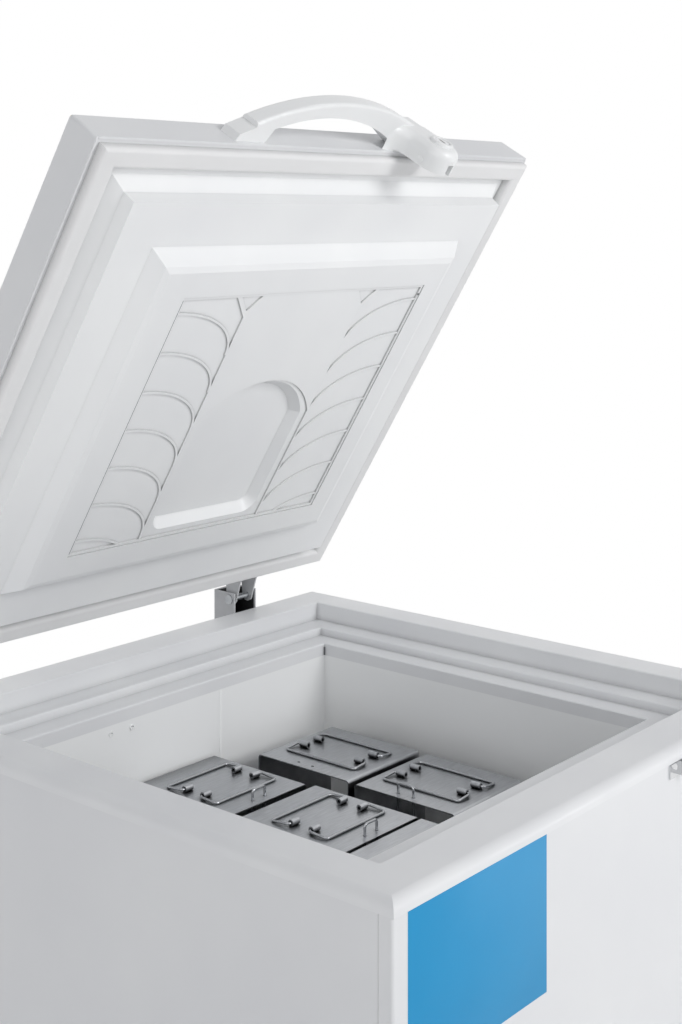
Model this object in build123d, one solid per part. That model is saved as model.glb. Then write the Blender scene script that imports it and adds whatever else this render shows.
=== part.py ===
from build123d import *
import os
from math import cos, sin, radians

os.makedirs("parts", exist_ok=True)

# Cabinet: X to the right, Y to the back, Z up from the floor, in millimetres.
cabinet_width = 750.0          # over the collar
cabinet_depth = 682.0
rim_height = 900.0             # top of the collar above the floor
panel_sheet = 1.0
panel_return = 14.0            # front and rear panels turn this far round the corners
panel_corner_radius = 3.0
seam_gap = 0.4

# Collar: four mitred extrusions, stepped down to the throat
skirt_wall = 2.5
skirt_drop = 14.0
shoulder_radius = 9.0
collar_wall = 4.0
collar_edge_radius = 2.0
flange_width = 51.5
first_step_drop = 22.8
first_step_width = 31.0
second_step_drop = 10.1
second_step_width = 29.5
lip_drop = 15.4
foam_clearance = 0.2           # between the collar and the insulation

# Cold space
liner_sheet = 1.0
floor_insulation = 90.0
coil_tube = 8.0
coil_turns = 5
coil_bend = 22.0
coil_first_drop = 92.0         # rim to the top turn
coil_last_rise = 100.0         # bottom turn above the floor of the cold space

# Base and machine compartment
base_height = 95.0             # underside of the base tray above the floor
tray_sheet = 2.0
tray_wall_height = 30.0
machine_room_height = 232.0    # base tray to the insulation
bottom_plate_sheet = 1.0

# Front grille
grille_width = 320.0
grille_height = 170.0
grille_from_side = 205.0       # its middle to the cabinet's left side
grille_rise = 35.0             # lower edge above the base tray
grille_depth = 14.0
grille_border = 12.0
grille_proud = 3.0
grille_lap = 6.0               # border that laps over the panel's cut-out
slat_count = 9
slat_thickness = 2.5
slat_tilt = 32.0

# Control panel
control_width = 230.0
control_height = 110.0
control_from_side = 170.0      # its middle to the cabinet's right side
control_rise = 65.0            # lower edge above the base tray
control_proud = 9.0
control_radius = 8.0
display_width = 92.0
display_height = 40.0
display_proud = 0.8
display_offset = 40.0          # display centre left of the panel's centre
control_chamfer = 2.0

# Condenser, fan and compressor
condenser_width = 290.0
condenser_height = 200.0
condenser_depth = 50.0
condenser_gap = 12.0           # behind the grille
fin_count = 24
fin_thickness = 1.2
condenser_tube = 9.0
condenser_rows = 5
fan_frame_size = 206.0
fan_frame_depth = 26.0
fan_bore = 184.0
fan_tip_clearance = 3.0
fan_corner = 10.0
spoke_width = 10.0
blade_depth = 66.0             # chord of a blade
fan_hub_radius = 30.0
fan_hub_length = 20.0
fan_shaft_radius = 4.0
blade_count = 5
blade_thickness = 1.6
blade_pitch = 32.0
motor_length = 34.0
spoke_depth = 4.0
rotor_gap = 0.5                # between the rotor and the spokes
running_clearance = 0.05
compressor_radius = 82.0
compressor_height = 185.0
compressor_dome = 55.0
compressor_from_side = 185.0
compressor_from_rear = 282.0
weld_rise = 105.0              # seam round the can, above its foot plate
weld_proud = 3.0
weld_height = 4.0
foot_height = 14.0
foot_radius = 13.0
foot_hole_radius = 4.5
foot_margin = 2.0
foot_spread = 72.0
foot_plate = 3.0
line_radius = 4.0
line_bend = 25.0
line_run = 50.0                # straight out of the can
discharge_rise = 55.0          # above the foot plate
suction_rise = 65.0

# Mains inlet
inlet_width = 50.0
inlet_height = 30.0
inlet_depth = 24.0
inlet_proud = 3.0
inlet_from_side = 90.0
inlet_rise = 60.0
inlet_lap = 9.0                # body behind the panel inside the flange
inlet_wall = 3.0
inlet_pin_length = 14.0
inlet_pin_pitch = 7.0
inlet_pin_width = 2.0
inlet_pin_height = 1.8
inlet_pin_drop = 1.5           # outer pins below the middle one
vent_count = 8
vent_width = 120.0
vent_height = 6.0
vent_pitch = 16.0

# Castors
castor_inset_x = 62.0
castor_inset_y = 66.0
castor_plate_length = 84.0
castor_plate_width = 70.0
castor_plate_thickness = 3.0
castor_race_radius = 24.0
castor_race_height = 6.0
castor_plate_corner = 6.0
castor_gap = 0.3
kingpin_radius = 6.0
fork_gap = 26.0                # between the fork's legs
fork_sheet = 3.0
fork_trail = 22.0
fork_overhang = 6.0            # crown behind the race
fork_boss_radius = 9.0
axle_proud = 3.0
wheel_radius = 37.5
wheel_width = 23.0
wheel_edge = 4.0
wheel_dish_outer = 25.5
wheel_dish_inner = 11.0
wheel_dish_depth = 3.0
axle_radius = 4.0

# Lid, modelled shut and then opened about its hinge
lid_setback = 2.0              # front edge behind the collar's front
lid_rear_setback = 25.7        # rear edge in front of the collar's rear
lid_lift = 11.1                # underside above the rim when shut
lid_thickness = 42.7
lid_sheet = 1.0
lid_corner_radius = 4.0
hem_width = 6.0
lid_open_angle = 58.73
gasket_width = 23.0
gasket_drop = 10.7
gasket_radius = 5.0
lid_liner_wall = 2.5
tier_top_inset = 38.5          # first step under the lid, from the lid's edges
tier_middle_inset = 52.5
tier_bottom_inset = 55.0
tier_middle_drop = 10.5
tier_drop = 25.5
block_top_inset = 106.0        # second step
block_middle_inset = 121.0
block_bottom_inset = 128.0
block_middle_drop = 40.0
block_drop = 42.0

# Relief panel let into the lid's face, seen from below
relief_middle = 3.5            # right of the lid's middle
relief_width = 425.0
relief_end_inset = 158.2       # from the lid's front and rear edges
relief_back = 6.0              # pocket depth in the block's face
relief_plate = 3.0
relief_border = 3.5
relief_clearance = 0.3
relief_height = 1.6            # ribs and middle field above the panel's floor
fan_count = 7
fan_first = 19.5               # first rib's start, from the panel's front end
fan_pitch = 49.6
fan_drop = 60.0                # a rib's end behind its start
rib_width = 2.6
rib_lap = 0.8                  # a rib's end inside the column
column_half_spacing = 102.0
wedge_width = 49.0
wedge_length = 27.0
arch_rise = 55.0
arch_foot = 177.5              # where the arch meets the columns, from the panel's front end
dish_half_width = 90.0
dish_arch_top = 125.0          # from the panel's front end
dish_shoulder = 178.5
dish_foot = 326.5
dish_corner = 20.0
dish_depth = 11.0
dish_slope = 42.0
dish_wall = 2.0

# Handle and lock
handle_left = -179.0           # outer end of the left foot
handle_foot_slant = 3.0
handle_foot_reach = 8.0
handle_step = 24.0             # from the left end to the step
handle_step_low = 17.0
handle_step_high = 22.0
handle_reach = 52.0
handle_top = 27.5              # above the lid's underside
handle_bottom = 4.5
handle_edge = 4.0
handle_corner = 12.0
grip_left = -132.6             # hand opening at the lid's face
grip_right = 98.0
grip_left_shoulder = -126.0
grip_right_shoulder = 66.0
grip_shoulder_reach = 16.0
grip_reach = 33.5
lock_x = 115.0
lock_width = 48.0
lock_reach = 31.0
lock_drop = 60.0               # lowest point below the lid's underside
lock_edge = 11.0
lock_blend = 20.0              # hollow curve from the handle's foot into the housing
ring_radius = 14.0             # raised ring round the key
ring_height = 1.5
key_radius = 8.5
key_proud = 1.2
key_gap = 0.3
key_length = 12.0
keyway_width = 1.6
keyway_depth = 6.0
keyway_height = 8.0
key_drop = 35.0
lock_back_gap = 0.8            # between the hanging part and the collar
slot_width = 9.0
slot_depth = 16.0
slot_top = 18.0
bolt_radius = 3.5
bolt_length = 19.5
bolt_travel = 10.0
keeper_width = 44.0
keeper_height = 14.0
keeper_drop = 22.5             # its centre below the rim
keeper_sheet = 2.0
tongue_thickness = 4.0
tongue_reach = 15.0            # in front of the panel
tongue_hole_radius = 4.5
tongue_hole_reach = 9.0
tongue_corner = 5.0
side_gap = 0.2                 # bolt behind the slot's side

# Hinges
hinge_spacing = 470.0
hinge_behind_rim = 11.6        # pin behind the collar's rear
hinge_rise = 13.4              # pin above the rim
pin_radius = 4.0
pin_head_radius = 6.4
pin_head_length = 1.5
channel_width = 44.0
channel_depth = 38.0
channel_sheet = 2.0
channel_gap = 2.0              # channel behind the collar's rear
channel_above_pin = 9.0
channel_below_rim = 165.0
channel_corner = 3.0
channel_foot_margin = 8.0
channel_foot_drop = 17.0       # top of the foot below the rim
channel_foot_corner = 4.0
arm_width = 34.0
arm_sheet = 2.5
arm_eye_radius = 8.0
arm_rise = 2.0                 # plate above the lid's underside
arm_corner = 5.0
cheek_top = 6.5                # cheek's top and bottom edges, behind the lid
cheek_bottom = 8.5
eye_shoulder_y = 4.8
eye_shoulder_z = 6.4
arm_plate_width = 60.0
arm_plate_height = 34.0
spring_radius = 11.0
spring_wire = 2.6
spring_coils = 9

# Racks: three behind each other in the left column and two turned ones on the right
rack_width = 137.0             # across the bends
row_gaps = (13.5, 5.5, 11.0, 5.0)      # front wall, E, D, A, rear wall
turned_rear_gap = 40.0         # B to the rear wall
turned_gap = 10.0              # between C and B
wall_gap_b = 39.0              # to the right wall
wall_gap_c = 41.5
column_gap_b = 38.0            # A to B
column_gap_c = 30.5            # D and E to C
rack_top_drop = 124.0          # top below the rim
rack_sheet = 1.2
rack_bend = 4.0
rack_levels = 4
rack_floor_clearance = 0.3
back_stop_width = 30.0
lug_outer_radius = 3.6
lug_length = 12.0
lug_end = 48.0                 # outer end of a lug from the rack's middle
lug_spacing = 28.0
bail_radius = 2.0
bail_half_length = 52.0
bail_leg = 24.0
bail_bend = 5.0
bail_hook_end = 39.0
retainer_radius = 1.5
retainer_spacing = 21.0
retainer_offset = -4.0
retainer_inset = 11.0
retainer_rise = 12.0
retainer_bend = 4.0
retainer_hole_clearance = 0.4
racks_with_retainer = ("a", "c", "d")

# Places that follow from the sizes
rear_reach = channel_gap + channel_depth
front_reach = tongue_reach - skirt_wall
front_y = -(cabinet_depth + rear_reach - front_reach) / 2
rear_y = front_y + cabinet_depth
middle_y = (front_y + rear_y) / 2
half_width = cabinet_width / 2
throat_inset = flange_width + first_step_width + second_step_width
slab_bottom = base_height + tray_sheet + machine_room_height
liner_floor = slab_bottom + floor_insulation + liner_sheet
liner_depth = rim_height - liner_floor
coil_pitch = (liner_depth - coil_first_drop - coil_last_rise) / (coil_turns - 1)
liner_top = rim_height - first_step_drop - second_step_drop - lip_drop
liner_outer_inset = throat_inset - liner_sheet
panel_top = rim_height - collar_wall
tray_top = base_height + tray_sheet
pin_y = rear_y + hinge_behind_rim
pin_z = rim_height + hinge_rise
lid_depth = cabinet_depth - lid_setback - lid_rear_setback
lid_front = front_y + lid_setback
lid_rear = lid_front + lid_depth
lid_under = rim_height + lid_lift
lid_top = lid_under + lid_thickness
lid_middle = (lid_front + lid_rear) / 2
lid_face = lid_under - block_drop
relief_floor = lid_face + relief_back - relief_plate
relief_front = lid_front + relief_end_inset
relief_rear = lid_rear - relief_end_inset
rack_height = liner_depth - rack_top_drop - rack_floor_clearance
rack_depth = (cabinet_depth - 2 * throat_inset - sum(row_gaps)) / 3
lug_axis_rise = lug_outer_radius
grille_centre_x = grille_from_side - half_width
control_centre_x = half_width - control_from_side


def box(x0, x1, y0, y1, z0, z1):
    """A box between two corners."""
    centre = Pos((x0 + x1) / 2, (y0 + y1) / 2, (z0 + z1) / 2)
    return centre * Box(x1 - x0, y1 - y0, z1 - z0)


def rod(radius, start, end):
    """A round bar between two points."""
    run = Vector(*end) - Vector(*start)
    return Plane(origin=start, z_dir=run) * Pos(0, 0, run.length / 2) * Cylinder(radius, run.length)


def outline(points):
    """A flat face with straight edges."""
    return make_face(Polyline(*points, close=True).edges())


def round_corners(face, places, radius):
    """Round the corners of a flat face that lie at the given places."""
    corners = [face.vertices().sort_by_distance(place)[0] for place in places]
    return fillet(corners, radius)


def frustum(inset_low, z_low, inset_high, z_high):
    """A lid-shaped block with sloping sides, inset from the lid's edges."""
    low = Pos(0, lid_middle, z_low) * Rectangle(cabinet_width - 2 * inset_low, lid_depth - 2 * inset_low)
    high = Pos(0, lid_middle, z_high) * Rectangle(cabinet_width - 2 * inset_high, lid_depth - 2 * inset_high)
    return loft([low.face(), high.face()])


def mitred_bar(profile, length, reach):
    """A straight extrusion along X with mitred ends; the profile's x points inwards to +Y."""
    bar = extrude(Plane.YZ.offset(-length / 2) * profile, length)
    half = length / 2
    plan = outline([(-half - 1, -1), (half + 1, -1), (half - reach, reach), (reach - half, reach)])
    return bar & extrude(Pos(0, 0, -2 * rim_height) * plan, 4 * rim_height)


def mitred_frame(profile, width, depth, centre_y, reach):
    """Four mitred bars round a rectangle: front, rear, left, right."""
    front = Pos(0, centre_y - depth / 2, 0) * mitred_bar(profile, width, reach)
    rear = Pos(0, centre_y + depth / 2, 0) * Rot(0, 0, 180) * mitred_bar(profile, width, reach)
    left = Pos(-width / 2, centre_y, 0) * Rot(0, 0, -90) * mitred_bar(profile, depth, reach)
    right = Pos(width / 2, centre_y, 0) * Rot(0, 0, 90) * mitred_bar(profile, depth, reach)
    return front, rear, left, right


def without_corners(shape):
    """Take off the upright corners, where the bent panels are round inside."""
    side = (panel_corner_radius - panel_sheet) * 2 ** 0.5
    inset = skirt_wall + panel_sheet
    for x in (-half_width + inset, half_width - inset):
        for y in (front_y + inset, rear_y - inset):
            shape -= Pos(x, y, rim_height / 2) * Rot(0, 0, 45) * Box(side, side, rim_height)
    return shape


def save(shape, node):
    """Write one node; a group of solids is kept as separate solids."""
    if isinstance(shape, (list, tuple)):
        solids = [solid for part in shape for solid in part.solids()]
        shape = Compound(children=solids)
    export_step(shape, "parts/" + node + ".step")


# Collar and insulation share the stepped line between them
def collar_inner_line():
    """Points along the inside of the collar, from the skirt to the lip."""
    z = rim_height - collar_wall
    step_one = flange_width - collar_wall
    step_two = step_one + first_step_width
    lip = step_two + second_step_width
    return [
        (skirt_wall, z),
        (step_one, z),
        (step_one, z - first_step_drop),
        (step_two, z - first_step_drop),
        (step_two, z - first_step_drop - second_step_drop),
        (lip, z - first_step_drop - second_step_drop),
        (lip, liner_top),
    ]


def collar_profile():
    step_one = flange_width
    step_two = step_one + first_step_width
    z_one = rim_height - first_step_drop
    z_two = z_one - second_step_drop
    outer = [
        (0, rim_height - skirt_drop),
        (0, rim_height),
        (step_one, rim_height),
        (step_one, z_one),
        (step_two, z_one),
        (step_two, z_two),
        (throat_inset, z_two),
        (throat_inset, liner_top),
    ]
    inner = collar_inner_line()[::-1] + [(skirt_wall, rim_height - skirt_drop)]
    face = outline(outer + inner)
    face = round_corners(face, [(0, rim_height)], shoulder_radius)
    edges = [(step_one, rim_height), (step_two, z_one), (throat_inset, z_two)]
    return round_corners(face, edges, collar_edge_radius)


def collars():
    return mitred_frame(collar_profile(), cabinet_width, cabinet_depth, middle_y, throat_inset + 1)


def evaporator_coil():
    """Square tube wound round the liner: flat on three sides, climbing along the rear."""
    x = half_width - liner_outer_inset
    y_front = front_y + liner_outer_inset
    y_rear = rear_y - liner_outer_inset
    z_top = rim_height - coil_first_drop
    turns = []
    for turn in range(coil_turns):
        z = z_top - turn * coil_pitch
        outer = Pos(0, (y_front + y_rear) / 2, z) * Box(
            2 * (x + coil_tube), y_rear - y_front + 2 * coil_tube, coil_tube)
        corners = outer.edges().filter_by(Axis.Z).group_by(Axis.Y)[0]
        loop = fillet(corners, coil_bend)
        loop -= box(-x, x, y_front, y_rear, z - coil_tube, z + coil_tube)
        loop -= box(-2 * x, 2 * x, y_rear, y_rear + 2 * coil_tube, z - coil_tube, z + coil_tube)
        turns.append(loop)
        if turn < coil_turns - 1:
            climb = outline([
                (-x - coil_tube, z - coil_tube / 2),
                (-x - coil_tube, z + coil_tube / 2),
                (x + coil_tube, z + coil_tube / 2 - coil_pitch),
                (x + coil_tube, z - coil_tube / 2 - coil_pitch),
            ])
            turns.append(Pos(0, y_rear + coil_tube, 0) * extrude(Plane.XZ * climb, coil_tube))
    coil = turns[0]
    for piece in turns[1:]:
        coil += piece
    return coil


def insulation(coil):
    """Four mitred wall slabs and the floor slab, with grooves for the coil."""
    inner = collar_inner_line()
    bottom = slab_bottom
    first = skirt_wall + panel_sheet
    under = [(x - foam_clearance, z - foam_clearance) for x, z in inner[1:]]
    top = liner_top - foam_clearance
    profile = outline(
        [(first, bottom), (first, panel_top - foam_clearance)] + under
        + [(liner_outer_inset, top), (liner_outer_inset, bottom)])
    walls = mitred_frame(profile, cabinet_width, cabinet_depth, middle_y, throat_inset + 1)
    x = half_width - liner_outer_inset
    floor = box(-x, x, front_y + liner_outer_inset, rear_y - liner_outer_inset, slab_bottom,
                liner_floor - liner_sheet)
    return [without_corners(wall) - coil for wall in walls] + [floor]


def liner():
    x = half_width - liner_outer_inset
    outer = box(-x, x, front_y + liner_outer_inset, rear_y - liner_outer_inset,
                liner_floor - liner_sheet, liner_top)
    x -= liner_sheet
    inner = box(-x, x, front_y + throat_inset, rear_y - throat_inset, liner_floor, liner_top + 1)
    return outer - inner


# Cabinet panels
def wrapped_panel():
    """The front panel's sheet, turned round both corners, seen in plan from its outer face."""
    x = half_width - skirt_wall
    outer = Pos(0, panel_return / 2, 0) * Rectangle(2 * x, panel_return)
    outer = round_corners(outer, [(-x, 0), (x, 0)], panel_corner_radius)
    inner_x = x - panel_sheet
    inner = Pos(0, panel_return / 2 + panel_sheet, 0) * Rectangle(2 * inner_x, panel_return)
    inner = round_corners(inner, [(-inner_x, panel_sheet), (inner_x, panel_sheet)],
                          panel_corner_radius - panel_sheet)
    return outer - inner


def grille_box(grow, y0, y1):
    """A box at the grille's place, grown by a margin on its edges."""
    z0 = tray_top + grille_rise
    return box(grille_centre_x - grille_width / 2 - grow, grille_centre_x + grille_width / 2 + grow,
               y0, y1, z0 - grow, z0 + grille_height + grow)


def front_panel():
    skin = front_y + skirt_wall
    panel = Pos(0, skin, 0) * extrude(Pos(0, 0, base_height) * wrapped_panel(), panel_top - base_height)
    return panel - grille_box(-grille_lap, skin - 1, skin + 2 * panel_sheet)


def inlet_box(grow, y0, y1):
    x = half_width - inlet_from_side
    z = tray_top + inlet_rise
    return box(x - inlet_width / 2 - grow, x + inlet_width / 2 + grow, y0, y1,
               z - inlet_height / 2 - grow, z + inlet_height / 2 + grow)


def rear_panel():
    skin = rear_y - skirt_wall
    flat = extrude(Pos(0, 0, base_height) * wrapped_panel(), panel_top - base_height)
    panel = Pos(0, skin, 0) * Rot(0, 0, 180) * flat
    panel -= inlet_box(-inlet_lap, skin - 2 * panel_sheet, skin + 1)
    for side in (-1, 1):
        for row in range(vent_count):
            z = tray_top + inlet_rise + row * vent_pitch
            x = side * vent_width - half_width / 4
            panel -= box(x - vent_width / 2 + vent_height, x + vent_width / 2 - vent_height,
                         skin - 2 * panel_sheet, skin + 1, z, z + vent_height)
    return panel


def side_panel(side):
    """One flat side between the returns of the front and rear panels."""
    outer = side * (half_width - skirt_wall)
    inner = outer - side * panel_sheet
    inset = skirt_wall + panel_return + seam_gap
    return box(min(outer, inner), max(outer, inner), front_y + inset, rear_y - inset,
               base_height, panel_top)


def base_tray():
    inset = skirt_wall + panel_sheet
    x = half_width - inset
    outer = box(-x, x, front_y + inset, rear_y - inset, base_height, base_height + tray_wall_height)
    inner = box(-x + tray_sheet, x - tray_sheet, front_y + inset + tray_sheet,
                rear_y - inset - tray_sheet, tray_top, tray_top + tray_wall_height)
    return without_corners(outer - inner)


def bottom_plate():
    """Sheet that closes the insulation from below, over the machine compartment."""
    inset = skirt_wall + panel_sheet
    x = half_width - inset
    plate = box(-x, x, front_y + inset, rear_y - inset, slab_bottom - bottom_plate_sheet, slab_bottom)
    return without_corners(plate)


def front_grille():
    skin = front_y + skirt_wall
    front = skin - grille_proud
    frame = grille_box(0, front, skin)
    frame += grille_box(-grille_lap, skin, front + grille_depth)
    frame -= grille_box(-grille_border, front - 1, front + grille_depth + 1)
    opening_height = grille_height - 2 * grille_border
    pitch = opening_height / (slat_count + 1)
    z0 = tray_top + grille_rise + grille_border
    half = grille_width / 2 - grille_border + 1
    depth = (grille_depth - grille_proud) / cos(radians(slat_tilt))
    for row in range(slat_count):
        place = Pos(grille_centre_x, front + grille_depth / 2, z0 + (row + 1) * pitch)
        frame += place * Rot(-slat_tilt, 0, 0) * Box(2 * half, depth, slat_thickness)
    return frame


def control_panel():
    skin = front_y + skirt_wall
    z = tray_top + control_rise + control_height / 2
    body = Pos(control_centre_x, skin - control_proud / 2, z) * Box(
        control_width, control_proud, control_height)
    body = fillet(body.edges().filter_by(Axis.Y), control_radius)
    body = chamfer(body.faces().sort_by(Axis.Y)[0].edges(), control_chamfer)
    window = Pos(control_centre_x - display_offset, skin - control_proud + display_proud / 2, z) * Box(
        display_width, display_proud, display_height)
    return body - window


def display_window():
    skin = front_y + skirt_wall
    z = tray_top + control_rise + control_height / 2
    return Pos(control_centre_x - display_offset, skin - control_proud + display_proud / 2, z) * Box(
        display_width, display_proud, display_height)


# Machine compartment
def condenser_front():
    return front_y + skirt_wall - grille_proud + grille_depth + condenser_gap


def condenser():
    """Finned block with its tube ends showing at the sides."""
    y0 = condenser_front()
    x0 = grille_centre_x - condenser_width / 2
    pitch = (condenser_width - fin_thickness) / (fin_count - 1)
    block = None
    for fin in range(fin_count):
        x = x0 + fin * pitch
        plate = box(x, x + fin_thickness, y0, y0 + condenser_depth, tray_top,
                    tray_top + condenser_height)
        block = plate if block is None else block + plate
    for row in range(condenser_rows):
        z = tray_top + condenser_height * (row + 0.5) / condenser_rows
        y = y0 + condenser_depth / 2
        block += rod(condenser_tube / 2, (x0 - condenser_tube, y, z),
                     (x0 + condenser_width + condenser_tube, y, z))
    return block


def fan_centre():
    y = condenser_front() + condenser_depth + fan_frame_depth / 2
    return grille_centre_x, y, tray_top + fan_frame_size / 2


def fan_frame():
    """Square shroud with the motor on four spokes behind the rotor."""
    x, y, z = fan_centre()
    plate = Box(fan_frame_size, fan_frame_depth, fan_frame_size)
    plate = fillet(plate.edges().filter_by(Axis.Y), fan_corner)
    plate -= Rot(90, 0, 0) * Cylinder(fan_bore / 2, fan_frame_depth + 2)
    back = fan_frame_depth / 2
    for angle in (45, 135):
        spoke = Rot(0, angle, 0) * Box(fan_bore + spoke_width, spoke_depth, spoke_width)
        plate += Pos(0, back - spoke_depth / 2, 0) * spoke
    plate += Pos(0, back - spoke_depth + motor_length / 2, 0) * Rot(90, 0, 0) * Cylinder(
        fan_hub_radius, motor_length)
    plate += Pos(0, back - spoke_depth - fan_hub_length / 2, 0) * Rot(90, 0, 0) * Cylinder(
        fan_shaft_radius, fan_hub_length)
    return Pos(x, y, z) * plate


def fan_rotor():
    x, y, z = fan_centre()
    hub = Rot(90, 0, 0) * Cylinder(fan_hub_radius, fan_hub_length)
    rim = Rot(90, 0, 0) * Cylinder(fan_bore / 2 - fan_tip_clearance, fan_hub_length)
    tip = fan_bore / 2
    blades = None
    for blade in range(blade_count):
        plate = Pos(fan_hub_radius / 2 + tip / 2, 0, 0) * Rot(blade_pitch, 0, 0) * Box(
            tip, blade_thickness, blade_depth)
        plate = Rot(0, blade * 360 / blade_count, 0) * plate
        blades = plate if blades is None else blades + plate
    hollow = Rot(90, 0, 0) * Cylinder(fan_hub_radius - 1, fan_hub_length + 2)
    rotor = hub + ((blades & rim) - hollow)
    rotor -= Rot(90, 0, 0) * Cylinder(fan_shaft_radius + running_clearance, fan_hub_length + 2)
    shift = fan_frame_depth / 2 - spoke_depth - fan_hub_length / 2 - rotor_gap
    return Pos(x, y + shift, z) * rotor


def compressor_centre():
    return half_width - compressor_from_side, rear_y - compressor_from_rear


def compressor():
    """Hermetic can on its foot plate."""
    x, y = compressor_centre()
    z = tray_top + foot_height
    can = Pos(0, 0, foot_plate + compressor_height / 2) * Cylinder(compressor_radius, compressor_height)
    can = fillet(can.edges().filter_by(GeomType.CIRCLE).sort_by(Axis.Z)[-1], compressor_dome)
    weld = Pos(0, 0, weld_rise) * Cylinder(compressor_radius + weld_proud, weld_height)
    half = foot_spread + foot_radius + foot_margin
    plate = Pos(0, 0, foot_plate / 2) * Box(2 * half, 2 * half, foot_plate)
    plate = fillet(plate.edges().filter_by(Axis.Z), foot_radius)
    return Pos(x, y, z) * (can + weld + plate)


def compressor_feet():
    x, y = compressor_centre()
    feet = []
    for sx in (-1, 1):
        for sy in (-1, 1):
            foot = Cylinder(foot_radius, foot_height) - Cylinder(foot_hole_radius, foot_height)
            feet.append(Pos(x + sx * foot_spread, y + sy * foot_spread, tray_top + foot_height / 2) * foot)
    return feet


def refrigerant_lines():
    """Discharge line to the condenser and suction line up into the insulation."""
    x, y = compressor_centre()
    plate_top = tray_top + foot_height + foot_plate
    z = plate_top + discharge_rise
    x_turn = x - compressor_radius - line_run
    x_end = grille_centre_x + condenser_width / 2 + condenser_tube
    y_end = condenser_front() + condenser_depth / 2
    z_end = tray_top + condenser_height / condenser_rows / 2
    discharge = FilletPolyline((x - compressor_radius, y, z), (x_turn, y, z), (x_turn, y_end, z),
                               (x_turn, y_end, z_end), (x_end, y_end, z_end), radius=line_bend)
    lines = [sweep(Plane(discharge @ 0, z_dir=discharge % 0) * Circle(line_radius), path=discharge)]
    z = plate_top + suction_rise
    y_turn = y + compressor_radius + line_run
    suction = FilletPolyline((x, y + compressor_radius, z), (x, y_turn, z),
                             (x, y_turn, slab_bottom - bottom_plate_sheet), radius=line_bend)
    lines.append(sweep(Plane(suction @ 0, z_dir=suction % 0) * Circle(line_radius), path=suction))
    return lines


def mains_inlet():
    """Flanged inlet with three pins in its well."""
    skin = rear_y - skirt_wall
    face = skin + inlet_proud
    floor = face - inlet_pin_length - inlet_wall
    body = inlet_box(0, skin, face) + inlet_box(-inlet_lap, face - inlet_depth, face)
    body -= inlet_box(-inlet_lap - inlet_wall, floor, face + 1)
    x = half_width - inlet_from_side
    z = tray_top + inlet_rise
    for side in (-1, 0, 1):
        pin_x = x + side * inlet_pin_pitch
        pin_middle = z - abs(side) * inlet_pin_drop
        body += box(pin_x - inlet_pin_width / 2, pin_x + inlet_pin_width / 2, floor - 1,
                    floor + inlet_pin_length, pin_middle - inlet_pin_height / 2,
                    pin_middle + inlet_pin_height / 2)
    return body


# Castors
def castor_places():
    x = half_width - castor_inset_x
    return {
        "front_left": (-x, front_y + castor_inset_y),
        "front_right": (x, front_y + castor_inset_y),
        "rear_left": (-x, rear_y - castor_inset_y),
        "rear_right": (x, rear_y - castor_inset_y),
    }


def castor_plate():
    plate = Pos(0, 0, base_height - castor_plate_thickness / 2) * Box(
        castor_plate_width, castor_plate_length, castor_plate_thickness)
    plate = fillet(plate.edges().filter_by(Axis.Z), castor_plate_corner)
    hole = Pos(0, 0, base_height - castor_plate_thickness / 2) * Cylinder(
        kingpin_radius + running_clearance, castor_plate_thickness + 2)
    return plate - hole


def castor_fork():
    """Crown, race, kingpin, two tapered legs and the axle."""
    race_top = base_height - castor_plate_thickness - castor_gap
    crown_top = race_top - castor_race_height
    race = Pos(0, 0, race_top - castor_race_height / 2) * Cylinder(castor_race_radius, castor_race_height)
    kingpin = Pos(0, 0, race_top + castor_plate_thickness / 2) * Cylinder(
        kingpin_radius, castor_plate_thickness)
    half = fork_gap / 2 + fork_sheet
    back = castor_race_radius + fork_overhang
    crown = box(-half, half, -castor_race_radius, back, crown_top - fork_sheet, crown_top)
    leg_plan = outline([
        (-castor_race_radius, crown_top),
        (back, crown_top),
        (fork_trail + fork_boss_radius, wheel_radius),
        (fork_trail - fork_boss_radius, wheel_radius),
    ])
    leg_plan += Pos(fork_trail, wheel_radius) * Circle(fork_boss_radius)
    fork = race + kingpin + crown
    for x0 in (-half, fork_gap / 2):
        fork += extrude(Plane.YZ.offset(x0) * leg_plan, fork_sheet)
    end = half + axle_proud
    return fork + rod(axle_radius, (-end, fork_trail, wheel_radius), (end, fork_trail, wheel_radius))


def castor_wheel():
    wheel = Rot(0, 90, 0) * Cylinder(wheel_radius, wheel_width)
    wheel = fillet(wheel.edges().filter_by(GeomType.CIRCLE), wheel_edge)
    for side in (-1, 1):
        dish = Cylinder(wheel_dish_outer, wheel_dish_depth) - Cylinder(wheel_dish_inner, wheel_dish_depth)
        wheel -= Pos(side * (wheel_width - wheel_dish_depth) / 2, 0, 0) * Rot(0, 90, 0) * dish
    bore = Rot(0, 90, 0) * Cylinder(axle_radius + running_clearance, wheel_width + 2)
    return Pos(0, fork_trail, wheel_radius) * (wheel - bore)


# Lid pieces, all modelled with the lid shut
def opened(shape):
    """Turn a piece of the shut lid to the angle at which the lid stands open."""
    hinge = Pos(0, pin_y, pin_z)
    return hinge * Rot(-lid_open_angle, 0, 0) * Pos(0, -pin_y, -pin_z) * shape


def lid_shell():
    """Steel pan with a narrow hem turned in along its lower edge."""
    shell = box(-half_width, half_width, lid_front, lid_rear, lid_under, lid_top)
    shell = fillet(shell.edges().filter_by(Axis.Z), lid_corner_radius)
    shell = fillet(shell.faces().sort_by(Axis.Z)[-1].edges(), lid_corner_radius / 2)
    x = half_width - lid_sheet
    shell -= box(-x, x, lid_front + lid_sheet, lid_rear - lid_sheet, lid_under + lid_sheet,
                 lid_top - lid_sheet)
    x = half_width - hem_width
    return shell - box(-x, x, lid_front + hem_width, lid_rear - hem_width, lid_under - 1,
                       lid_under + 2 * lid_sheet)


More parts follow.
